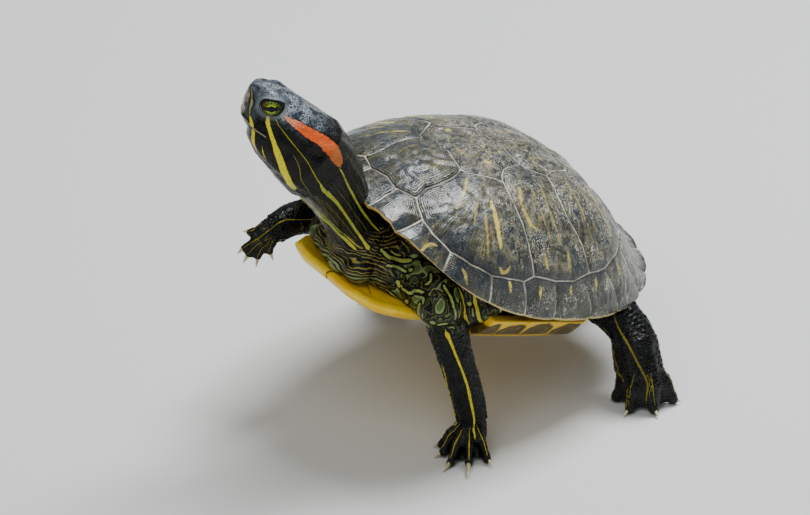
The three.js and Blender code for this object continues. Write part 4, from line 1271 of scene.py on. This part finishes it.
lift += 0.25 * ridge * hill(out_mm, 2.2)

# Folds and fine grain on the neck, and looser folds at its root and round the legs.
around_mm = phi * np.maximum(off_line, 4)
on_the_neck = fade(s, 12, 20) * (1 - fade(s, 86, 94)) * (off_line < 20)
folds = lumps(np.stack((s / 11.0, around_mm / 2.4, off_line * 0), -1))
lift += on_the_neck * (0.30 * (1 - fade(s, 35, 62)) + 0.05) * folds
lift += on_the_neck * 0.10 * lumps(np.stack((s / 1.5, around_mm / 9.0, np.full(len(s), 3.3)), -1))
crease = lumps(points, 2.6)
coarse_fold = np.array([noise.noise(Vector(p) / 7.0 + Vector((7, 1, 3))) for p in points])
lift += np.where((~is_leg) & (s < 16), 0.35 * coarse_fold + 0.18 * crease, 0)
lift += np.where(is_leg, 0.16 * crease + 0.18 * coarse_fold, 0)
# Grooves between the toes, and wrinkles across them.
toe_step, toe_gap = nearest_in(toe_tree, points)
toe_gap -= toe_halves[toe_step]
lift -= is_foot * 0.75 * fade(toe_gap, 0.15, 1.0)
lift += np.where(toe_gap < 0.4, 0.07 * np.sin(toe_step % TOE_STEPS * 1.5), 0)
points = points + normals * lift[:, None]

# The muzzle slopes back above the beak, the throat hangs a little, the nape is full.
levels = np.arange(-21.0, 3.6, 1.0)
middle_line = (out_mm < 2.2) & (s > 60)
front = evened(np.array([
    ahead_mm[middle_line & (np.abs(up_mm - level) < 0.8)].max() for level in levels
]))
wanted_front = np.interp(
    levels, (-22.2, -19.2, -15.3, -12.6, -7.5, -4.6, -0.4, 2.8),
    (-7.5, -3.3, 2.5, 5.4, 7.6, 8.3, 9.0, 9.3),
)
pull = np.interp(up_mm, levels, np.clip(front - wanted_front, -1.6, 4.0))
front_here = np.interp(up_mm, levels, front)
muzzle = fade(ahead_mm, front_here - 9.5, front_here - 0.6)
points -= fwd * (pull * muzzle * (s > 66) * (up_mm < 5))[:, None]
points -= above * (0.6 * fade(ahead_mm, -3, 3) * is_head * fade(up_mm, -3, 1))[:, None]
throat = fade(-up_mm, 11, 17) * fade(ahead_mm, -46, -26) * (1 - fade(ahead_mm, -2, 4))
points -= above * (1.7 * throat * (s > 60))[:, None]
points += above * (1.3 * hill(ahead_mm + 32, 8) * fade(up_mm, -6, 0) * (s > 50))[:, None]


def lid_frame(side):
    """The way an eye looks, and the ways along and up its opening."""
    gaze = fwd * GAZE[0] + left * side * GAZE[1] + above * GAZE[2]
    gaze /= np.linalg.norm(gaze)
    along_lid = fwd * math.cos(LID_TILT) - above * math.sin(LID_TILT)
    along_lid = along_lid - gaze * (along_lid @ gaze)
    along_lid /= np.linalg.norm(along_lid)
    up_lid = np.cross(along_lid, gaze)
    return gaze, along_lid, up_lid * (1 if up_lid @ above > 0 else -1)


# The eyelids: the skin sinks behind the eyeball inside the opening and stands round it as a rim.
lid = np.full(len(points), 9.0)
for side in (1, -1):
    centre = eye_middle(side)
    gaze, along_lid, up_lid = lid_frame(side)
    out = points - centre
    reach = np.linalg.norm(out, axis=1)
    facing = out @ gaze
    p, q = out @ along_lid, out @ up_lid
    opening = np.sqrt((np.abs(p) / 4.75) ** 2 + (np.abs(q) / np.where(q > 0, 3.05, 3.35)) ** 2)
    opening = np.where(facing > 0.5, opening, 9)
    wanted = np.interp(
        opening, (0, 0.86, 0.97, 1.06, 1.20, 1.34, 1.55, 1.9),
        (4.0, 4.0, 5.35, 5.60, 5.55, 5.20, 5.35, 5.45),
    )
    grip = (1 - fade(opening, 1.28, 1.8)) * fade(facing, 0.3, 1.4)
    new_reach = reach + (wanted - reach) * grip
    new_reach = np.where(opening > 0.97, np.maximum(new_reach, EYE_RADIUS + 0.30), new_reach)
    points = centre + out * (new_reach / np.maximum(reach, 1e-6))[:, None]
    lid = np.minimum(lid, opening)
box_low, box_high = (np.array(corner) / MM for corner in cad_box)


def inside_box(points, gap):
    """The places, kept so far inside the solids' box."""
    return np.clip(points, box_low + gap, box_high - gap)


points = inside_box(points, 0.08)
move_to(skin_mesh, points)
skin_mesh.name = "skin"
upper_arms = [f"front_{side_name}_upper_arm" for side_name in SIDES]
root = np.where(is_leg, 0, 1 - fade(s, 15, 27)) + np.isin(names, upper_arms)
root = spread(root, ends, 14) * fade(points[:, 2] + 6.0 * lumps(points, 5.0, 17), 50, 68)
root *= np.where(names == "front_right_upper_arm", 1 - fade(points[:, 0], 34, 41), 1)
in_shell = into_shell_frame(points)
root_values = np.stack((root, in_shell[:, 2], np.abs(in_shell[:, 1])), -1)
write_on(
    skin_mesh, line_main=main_mark, line_extra=extra_mark, line_red=red_mark, blots=blot_mark,
    head_place=np.stack((ahead_mm, out_mm, up_mm), -1),
    lid=np.stack((lid, np.where(mouth_reach > 0, from_mouth, 9), mouth_reach), -1),
    root=root_values, neck_place=np.stack((s, around_mm, off_line), -1) / 10,
    leg=spread(is_leg.astype(float), ends, 6), along=np.where(off_line < 24, s, 0) / 10,
)

hide = Paint("skin", 0.42, specular=0.14, coat=0.06, coat_roughness=0.14)
leg, along = hide.amount("leg"), hide.amount("along")
head_ahead, head_out, head_up = hide.parts("head_place")
main_across, main_off, main_strength = hide.parts("line_main")
extra_across, extra_off, extra_strength = hide.parts("line_extra")
red_across, red_off, red_along = hide.parts("line_red")
blot_off = hide.parts("blots")[1]
lid_share, mouth_gap, at_mouth = hide.parts("lid")
at_root, root_height, root_out = hide.parts("root")
neck_along, neck_around, _ = hide.parts("neck_place")
speck = hide.cloud(1500, 3, 0.6)
mottle = hide.cloud(260, 4, 0.6)
threads = (neck_around * 32.0 + hide.cloud(120, 2) * 9.0).wave()
threads = threads.between(0.70, 0.98) * neck_along.between(7.5, 5.0) * main_off.between(0.9, 1.3)
# The legs are black with a blue cast, partly their own colour and partly a painted blue sheen.
leg_black_and_sheen = hide.layers((0.0010, 0.0016, 0.0026), (mottle.between(0.45, 0.7), (0.0045, 0.0070, 0.0105)))
plain = hide.layers(
    (0.0012, 0.0013, 0.0014),
    (mottle.between(0.42, 0.70), (0.0075, 0.0066, 0.0040)),
    (leg * 0.85, leg_black_and_sheen),
    (threads * 0.30, (0.085, 0.075, 0.020)),
)
# Loops, spots and wavy lines on the loose skin of the neck's root.
loops = hide.cloud(175, 1.0, 0.3, distortion=0.35)
wave_place = hide.cloud(95, 2.0, 0.5) * 7.0 + root_height
waves = (wave_place * 4.2).wave().between(0.35, 0.85) * mottle.between(0.34, 0.56)
pale_band = wave_place.between(-3.0, -5.0) * (wave_place * 3.0).wave().between(-0.1, 0.4)
waved = hide.layers(plain, (waves, (0.30, 0.25, 0.05)), (pale_band * 0.9, (0.24, 0.32, 0.14)))
root_colour = hide.layers(
    plain,
    (abs(loops - 0.50).between(0.022, 0.008), (0.10, 0.11, 0.035)),
    (abs(loops - 0.42).between(0.018, 0.006), (0.13, 0.14, 0.04)),
    (loops.between(0.580, 0.610), (0.24, 0.32, 0.11)),
    (loops.between(0.645, 0.665), (0.10, 0.14, 0.05)),
    (root_out.between(19, 14), waved),
)
root_share = at_root.between(0.25, 0.60) * (blot_off.between(0.7, 1.1) * main_off.between(0.7, 1.1))
# The top of the head is grey with a fine pale net and the nose a paler grey, both partly their own colour
# and partly a painted bluish sheen; the beak is streaked with cream.
net = hide.cells(900, "DISTANCE_TO_EDGE")
net_and_sheen = hide.layers((0.34, 0.38, 0.41), (net.between(0.03, 0.12), (0.048, 0.062, 0.080)))
head_top_and_sheen = hide.layers((0.020, 0.029, 0.042), (mottle.between(0.36, 0.60), net_and_sheen))
nose_grey_and_sheen = hide.layers((0.022, 0.029, 0.036), (mottle.between(0.36, 0.62), (0.115, 0.135, 0.15)))
stretched = hide.node("Mapping", {"Vector": hide.place, "Scale": (900, 900, 240)})[0]
streaks = hide.cloud(1.0, 3, 0.6, at=stretched)
beak_colour = hide.layers((0.070, 0.060, 0.045), (streaks.between(0.38, 0.60), (0.46, 0.39, 0.27)))
beak = head_ahead.between(-1.0, 3.0) * head_up.between(-20.0, -16.0)
beak = beak * (head_up.between(-1.5, -4.5) * head_out.between(4.3, 3.2))
wobble = (mottle - 0.5) * 0.8


def line_mask(across_it, off_edge, strength):
    """Where a painted line is, a little ragged at its edges."""
    return (abs(across_it) + wobble).between(1.16, 0.80) * off_edge.between(1.1, 0.5) * strength


line_colour = hide.layers(
    (0.33, 0.37, 0.035),
    (along.between(6.2, 7.4), (0.78, 0.68, 0.004)),
    (along.between(2.9, 2.0), (0.55, 0.47, 0.030)),
    (along.between(10.05, 10.25), (0.50, 0.46, 0.20)),
    (leg, (0.62, 0.52, 0.020)),
    (speck.between(0.56, 0.36) * 0.4, (0.12, 0.12, 0.012)),
)
blot_colour = hide.layers((0.20, 0.28, 0.070), (mottle.between(0.38, 0.62), (0.42, 0.46, 0.10)))
red_edge = abs(red_across) + (hide.cloud(520, 3) - 0.5) * 0.8
red_colour = hide.layers(
    (0.62, 0.085, 0.016),
    (red_along.between(82, 89), (0.62, 0.22, 0.13)),
    (red_along.between(74, 66), (0.42, 0.11, 0.008)),
    (mottle.between(0.42, 0.66) * 0.45, (0.60, 0.18, 0.05)),
    (speck.between(0.58, 0.68) * red_along.between(80, 88) * 0.7, (0.62, 0.58, 0.50)),
)
# The gape is a dark line with a cream horny edge above it. Round the eye's opening the lids are painted
# black, shade in the gap by the eyeball, with a painted pale highlight on the lower lid's inner edge; the
# lids are pale on the rim.
lower_lid_highlight = lid_share.between(0.97, 1.00) * lid_share.between(1.07, 1.04) * head_up.between(-2.6, -3.8)
hide.feed("Base Color", hide.layers(
    plain,
    (root_share * 0.85, root_colour),
    # Painted sheen with the skin's own grey: the paler top of the head and the nose.
    (head_up.between(-4.2, 0.2) * head_ahead.between(-30, -12) * 0.92, head_top_and_sheen),
    (head_ahead.between(0.0, 4.0) * head_up.between(-12.0, -8.0) * 0.75, nose_grey_and_sheen),
    (beak * 0.9, beak_colour),
    (main_off.between(0.9, 0.3) * 0.85, (0.001, 0.001, 0.001)),
    (blot_off.between(0.8, 0.25) * 0.85, (0.001, 0.001, 0.001)),
    (line_mask(extra_across, extra_off, extra_strength), line_colour),
    (line_mask(main_across, main_off, main_strength), line_colour),
    (blot_off.between(0.10, -0.12) * 0.9, blot_colour),
    (red_edge.between(1.45, 1.15) * 0.8, (0.004, 0.004, 0.004)),
    (red_edge.between(1.10, 0.90) * red_off.between(0.8, 0.2), red_colour),
    (abs(mouth_gap - 0.68).between(0.38, 0.18) * at_mouth * 0.75, (0.42, 0.36, 0.22)),
    (abs(mouth_gap).between(0.42, 0.22) * at_mouth, (0.003, 0.0025, 0.002)),
    # Painted shade: black just round the eye's opening.
    (lid_share.between(1.22, 1.12), (0.003, 0.0035, 0.0035)),
    (lid_share.between(1.16, 1.26) * lid_share.between(1.62, 1.40) * 0.6, (0.17, 0.20, 0.225)),
    # Painted highlight: pale grey on the lower lid's inner edge.
    (lower_lid_highlight * 0.6, (0.22, 0.24, 0.20)),
))
hide.feed("Roughness", mottle.between(0.35, 0.7).mixed(0.24, 0.40))
hide.bump(hide.cells(1150) * -0.7 + speck * 0.3 + mottle * 0.8, 0.00028)
object_of("skin", skin_mesh, hide.material, "skin", *FLESH)

# ---------------------------------------------------------------- scales
# Small horny scales in staggered rows round the legs and the tail, each a low dome set in the skin
# with its lower edge lifted over the next row. They carry the same paint as the skin.
# Each limb has its girth, the step between its rows, and a line down its middle in millimetres.
LIMB_PATHS = {
    "front_left": (5.2, 1.15, (
        (34, 24, 10), (43, 34, 4), (44.6, 39, -6), (42, 40.5, -18), (38, 41, -32), (34.8, 41.5, -46),
        (35.5, 42, -52),
    )),
    "front_right": (4.6, 1.15, (
        (30, -24, 14), (39, -34.5, 13), (46, -39, 13.2), (53, -39.5, 14.2), (59, -40, 13.4),
        (63, -41.1, 11.8),
    )),
    "hind_left": (7.5, 1.6, (
        (-30, 20, -14), (-35, 38, -22), (-38.5, 50.5, -30.5), (-37, 56.5, -36), (-36.6, 58.6, -43),
        (-36.4, 60.6, -51),
    )),
    "hind_right": (7.5, 1.6, (
        (-30, -20, -6), (-27, -38, -12), (-22.5, -51, -21), (-22, -56, -32), (-24, -58, -43),
        (-23.5, -60, -51),
    )),
    "tail": (4.0, 1.5, (
        (-50, 0, -18), (-59, -1, -28.9), (-66, -2.3, -33), (-78, -4.5, -39), (-88, -8, -44.6),
    )),
}
# Rays towards a limb start so many millimetres from its line and go so many metres.
RAY_START, RAY_REACH = 20, 0.0185
finished_skin = faces_of(skin_mesh)
first_corner = [polygon.vertices[0] for polygon in skin_mesh.polygons]
ball = bmesh.new()
bmesh.ops.create_uvsphere(ball, u_segments=8, v_segments=4, radius=1.0)
ball_shape = np.array([v.co[:] for v in ball.verts])
ball_faces = [[v.index for v in face.verts] for face in ball.faces]
ball.free()
for limb_number, (limb, (girth, row_step, stations)) in enumerate(LIMB_PATHS.items()):
    track = evened(finely(np.array(stations, float) + SHELL_MIDDLE, row_step), 3)
    ways = np.gradient(track, axis=0)
    ways /= np.linalg.norm(ways, axis=1)[:, None]
    around = max(8, int(2 * math.pi * girth / (row_step * 1.75)))
    scales, patches = [], []
    for row, (middle, way) in enumerate(zip(track, ways)):
        start = np.cross(way, (0.3, 0.2, 1.0) if abs(way[2]) < 0.8 else (1.0, 0.3, 0))
        start /= np.linalg.norm(start)
        beside = np.cross(way, start)
        for n in range(around):
            angle = 2 * math.pi * (n + 0.5 * (row % 2) + 0.12 * math.sin(row * 7.3 + n * 2.1)) / around
            outwards = start * math.cos(angle) + beside * math.sin(angle)
            origin = Vector(middle + outwards * RAY_START) * MM
            hit, normal, face, _ = finished_skin.ray_cast(origin, -Vector(outwards), RAY_REACH)
            if hit is None or not names[first_corner[face]].startswith(limb):
                continue
            up_way = np.array(normal)
            if up_way @ outwards < 0.55:
                continue
            down = way - up_way * (way @ up_way)
            down /= np.linalg.norm(down)
            wide = np.cross(down, up_way)
            grow = 1 + 0.12 * math.sin(row * 3.7 + n * 5.3)
            rise = 0.24 * min(1, 0.3 + row * row_step / 14)
            scale = ball_shape * (row_step * 0.92 * grow, row_step * 0.66, rise)
            lifted = scale[:, 2] + 0.05 * scale[:, 1] / row_step
            place = np.array(hit) / MM + up_way * (lifted[:, None] - 0.06)
            scales.append(place + np.outer(scale[:, 0], wide) + np.outer(scale[:, 1], down))
            round_share = (angle / (2 * math.pi)) % 1
            # Each scale gets a small spot of the sheet: limbs side by side, rows from the bottom up.
            column = (limb_number + 0.04 + 0.92 * round_share) / len(LIMB_PATHS)
            spot = np.array((column, 0.02 + 0.96 * row / len(track)))
            patches.append(spot + ball_shape[:, :2] * 0.0015)
    faces = [[k + i * len(ball_shape) for k in face] for i in range(len(scales)) for face in ball_faces]
    places = np.concatenate(scales)
    places[:, 2] = np.maximum(places[:, 2], 0.05)
    places = inside_box(places, 0.03)
    mesh = bpy.data.meshes.new(f"{limb}_scales")
    mesh.from_pydata((places * MM).tolist(), [], faces)
    mesh.update()
    first_places = places.reshape(len(scales), -1, 3)[:, 0]
    nearest = [first_corner[finished_skin.find_nearest(Vector(p) * MM)[2]] for p in first_places]
    everywhere = np.ones((len(places), 1))
    write_on(
        mesh, line_main=marked(main_runs, places), line_extra=marked(extra_runs, places),
        blots=marked(blot_runs, places), root=np.repeat(root_values[nearest], len(ball_shape), 0),
        line_red=everywhere * (4.0, 9.0, 0.0), head_place=everywhere * (-90.0, 50.0, -90.0),
        lid=everywhere * (9.0, 9.0, 0.0), leg=everywhere[:, 0],
    )
    corner_vertex = np.empty(len(mesh.loops), int)
    mesh.loops.foreach_get("vertex_index", corner_vertex)
    uv = mesh.uv_layers.new(name="OFBake")
    uv.data.foreach_set("uv", np.concatenate(patches)[corner_vertex].ravel())
    covered = [name for name in FLESH if name.startswith(limb)]
    object_of(f"{limb}_scales", mesh, hide.material, "skin", *covered)

# ---------------------------------------------------------------- eyes
# A wet glassy ball in each socket, held by the lids: a black pupil in a green-gold ring, crossed by
# a dark bar.
iris = Paint("iris", 0.08, specular=0.20)
along_eye, up_eye, _ = iris.parts("gaze_place")
from_pupil = iris.math("SQRT", along_eye * along_eye + up_eye * up_eye)
flecks = iris.cloud(1500, 3, 0.6)
bar = abs(along_eye * 0.10 + up_eye)
iris.feed("Base Color", iris.layers(
    (0.030, 0.050, 0.004),
    (flecks.between(0.40, 0.62), (0.20, 0.27, 0.020)),
    (from_pupil.between(2.2, 1.4), (0.36, 0.44, 0.045)),
    ((bar + flecks * 1.1).between(1.55, 1.20), (0.001, 0.001, 0.001)),
    (from_pupil.between(1.40, 1.20), (0.001, 0.001, 0.001)),
    (from_pupil.between(3.0, 3.5), (0.020, 0.014, 0.006)),
    (along_eye.between(1.9, 3.2) * up_eye.between(0.3, 1.4), (0.10, 0.045, 0.012)),
))
for side, eye_name in ((1, "eye_left"), (-1, "eye_right")):
    centre = eye_middle(side)
    gaze, along_lid, up_lid = lid_frame(side)
    ball = bmesh.new()
    bmesh.ops.create_uvsphere(ball, u_segments=64, v_segments=40, radius=EYE_RADIUS)
    turn_to = Vector(gaze).to_track_quat("Z", "Y").to_matrix().to_4x4()
    bmesh.ops.transform(ball, matrix=Matrix.Translation(Vector(centre)) @ turn_to, verts=ball.verts)
    bmesh.ops.recalc_face_normals(ball, faces=ball.faces)
    mesh = mesh_of(ball, eye_name + "_ball")
    places = numbers_of(mesh)
    out = places - centre
    write_on(mesh, gaze_place=np.stack((out @ along_lid, out @ up_lid, out @ gaze), -1))
    move_to(mesh, places)
    object_of(eye_name + "_ball", mesh, iris.material, "eye", eye_name)

# ---------------------------------------------------------------- claws
# Eighteen claws of pale horn, five on each forefoot and four on each hind foot. Each grows out of
# its toe, is round above and narrow below, and bends down to a blunt point.
CLAW_LENGTHS = {
    "front_left": (3.5, 4.0, 5.5, 8.5, 4.0), "front_right": (3.0, 3.5, 4.0, 4.0, 3.5),
    "hind_left": (3.0, 4.0, 4.0, 3.0), "hind_right": (3.0, 4.0, 4.0, 3.0),
}
SUNK, HALF_TALL, HALF_WIDE, BEND = 1.1, 0.98, 0.80, 0.95
claw_horn = Paint("claw_horn", 0.32, coat=0.35, coat_roughness=0.12)
along_claw = claw_horn.amount("along_claw")
streaky = claw_horn.cloud(900, 4, 0.6)
claw_horn.feed("Base Color", claw_horn.layers(
    (0.30, 0.22, 0.10),
    (streaky.between(0.38, 0.62), (0.50, 0.41, 0.21)),
    (along_claw.between(0.45, 0.95), (0.60, 0.52, 0.33)),
    (along_claw.between(0.30, 0.12), (0.060, 0.045, 0.025)),
))
claw_horn.bump(streaky, 0.00012)
for foot_name, (foot, tips) in FEET.items():
    for claw_number, (tip, length) in enumerate(zip(tips, CLAW_LENGTHS[foot_name]), 1):
        claw_name = f"{foot_name}_claw_{claw_number}"
        way = np.array(tip) - np.array(foot)
        way /= np.linalg.norm(way)
        sideways = np.cross(way, (0, 0, 1))
        sideways /= np.linalg.norm(sideways)
        raised = np.cross(sideways, way)
        claw = bmesh.new()
        bmesh.ops.create_uvsphere(claw, u_segments=14, v_segments=12, radius=1.0)
        mesh = mesh_of(claw, claw_name + "_horn")
        x, y, z = numbers_of(mesh).T
        along_it = (1 - z) / 2
        girth = np.sqrt(np.clip(along_it / 0.10, 0, 1)) * (1 - along_it) ** 0.60
        rho = np.hypot(x, y) + 1e-9
        size = 1.0 + 0.05 * length
        reach = -SUNK + (length + 0.9) * along_it
        drop = BEND * along_it ** 2.2
        place = (
            np.array(tip) + way * reach[:, None] + (0, 0, 0.15) - np.outer(drop, (0, 0, 1))
            + sideways * (x / rho * girth * HALF_WIDE * size * (rho > 1e-6))[:, None]
            + raised * (y / rho * girth * HALF_TALL * size * (rho > 1e-6))[:, None]
        )
        place[:, 2] = np.maximum(place[:, 2], 0.06)
        move_to(mesh, inside_box(place, 0.02))
        write_on(mesh, along_claw=along_it)
        object_of(claw_name + "_horn", mesh, claw_horn.material, "claw", claw_name)
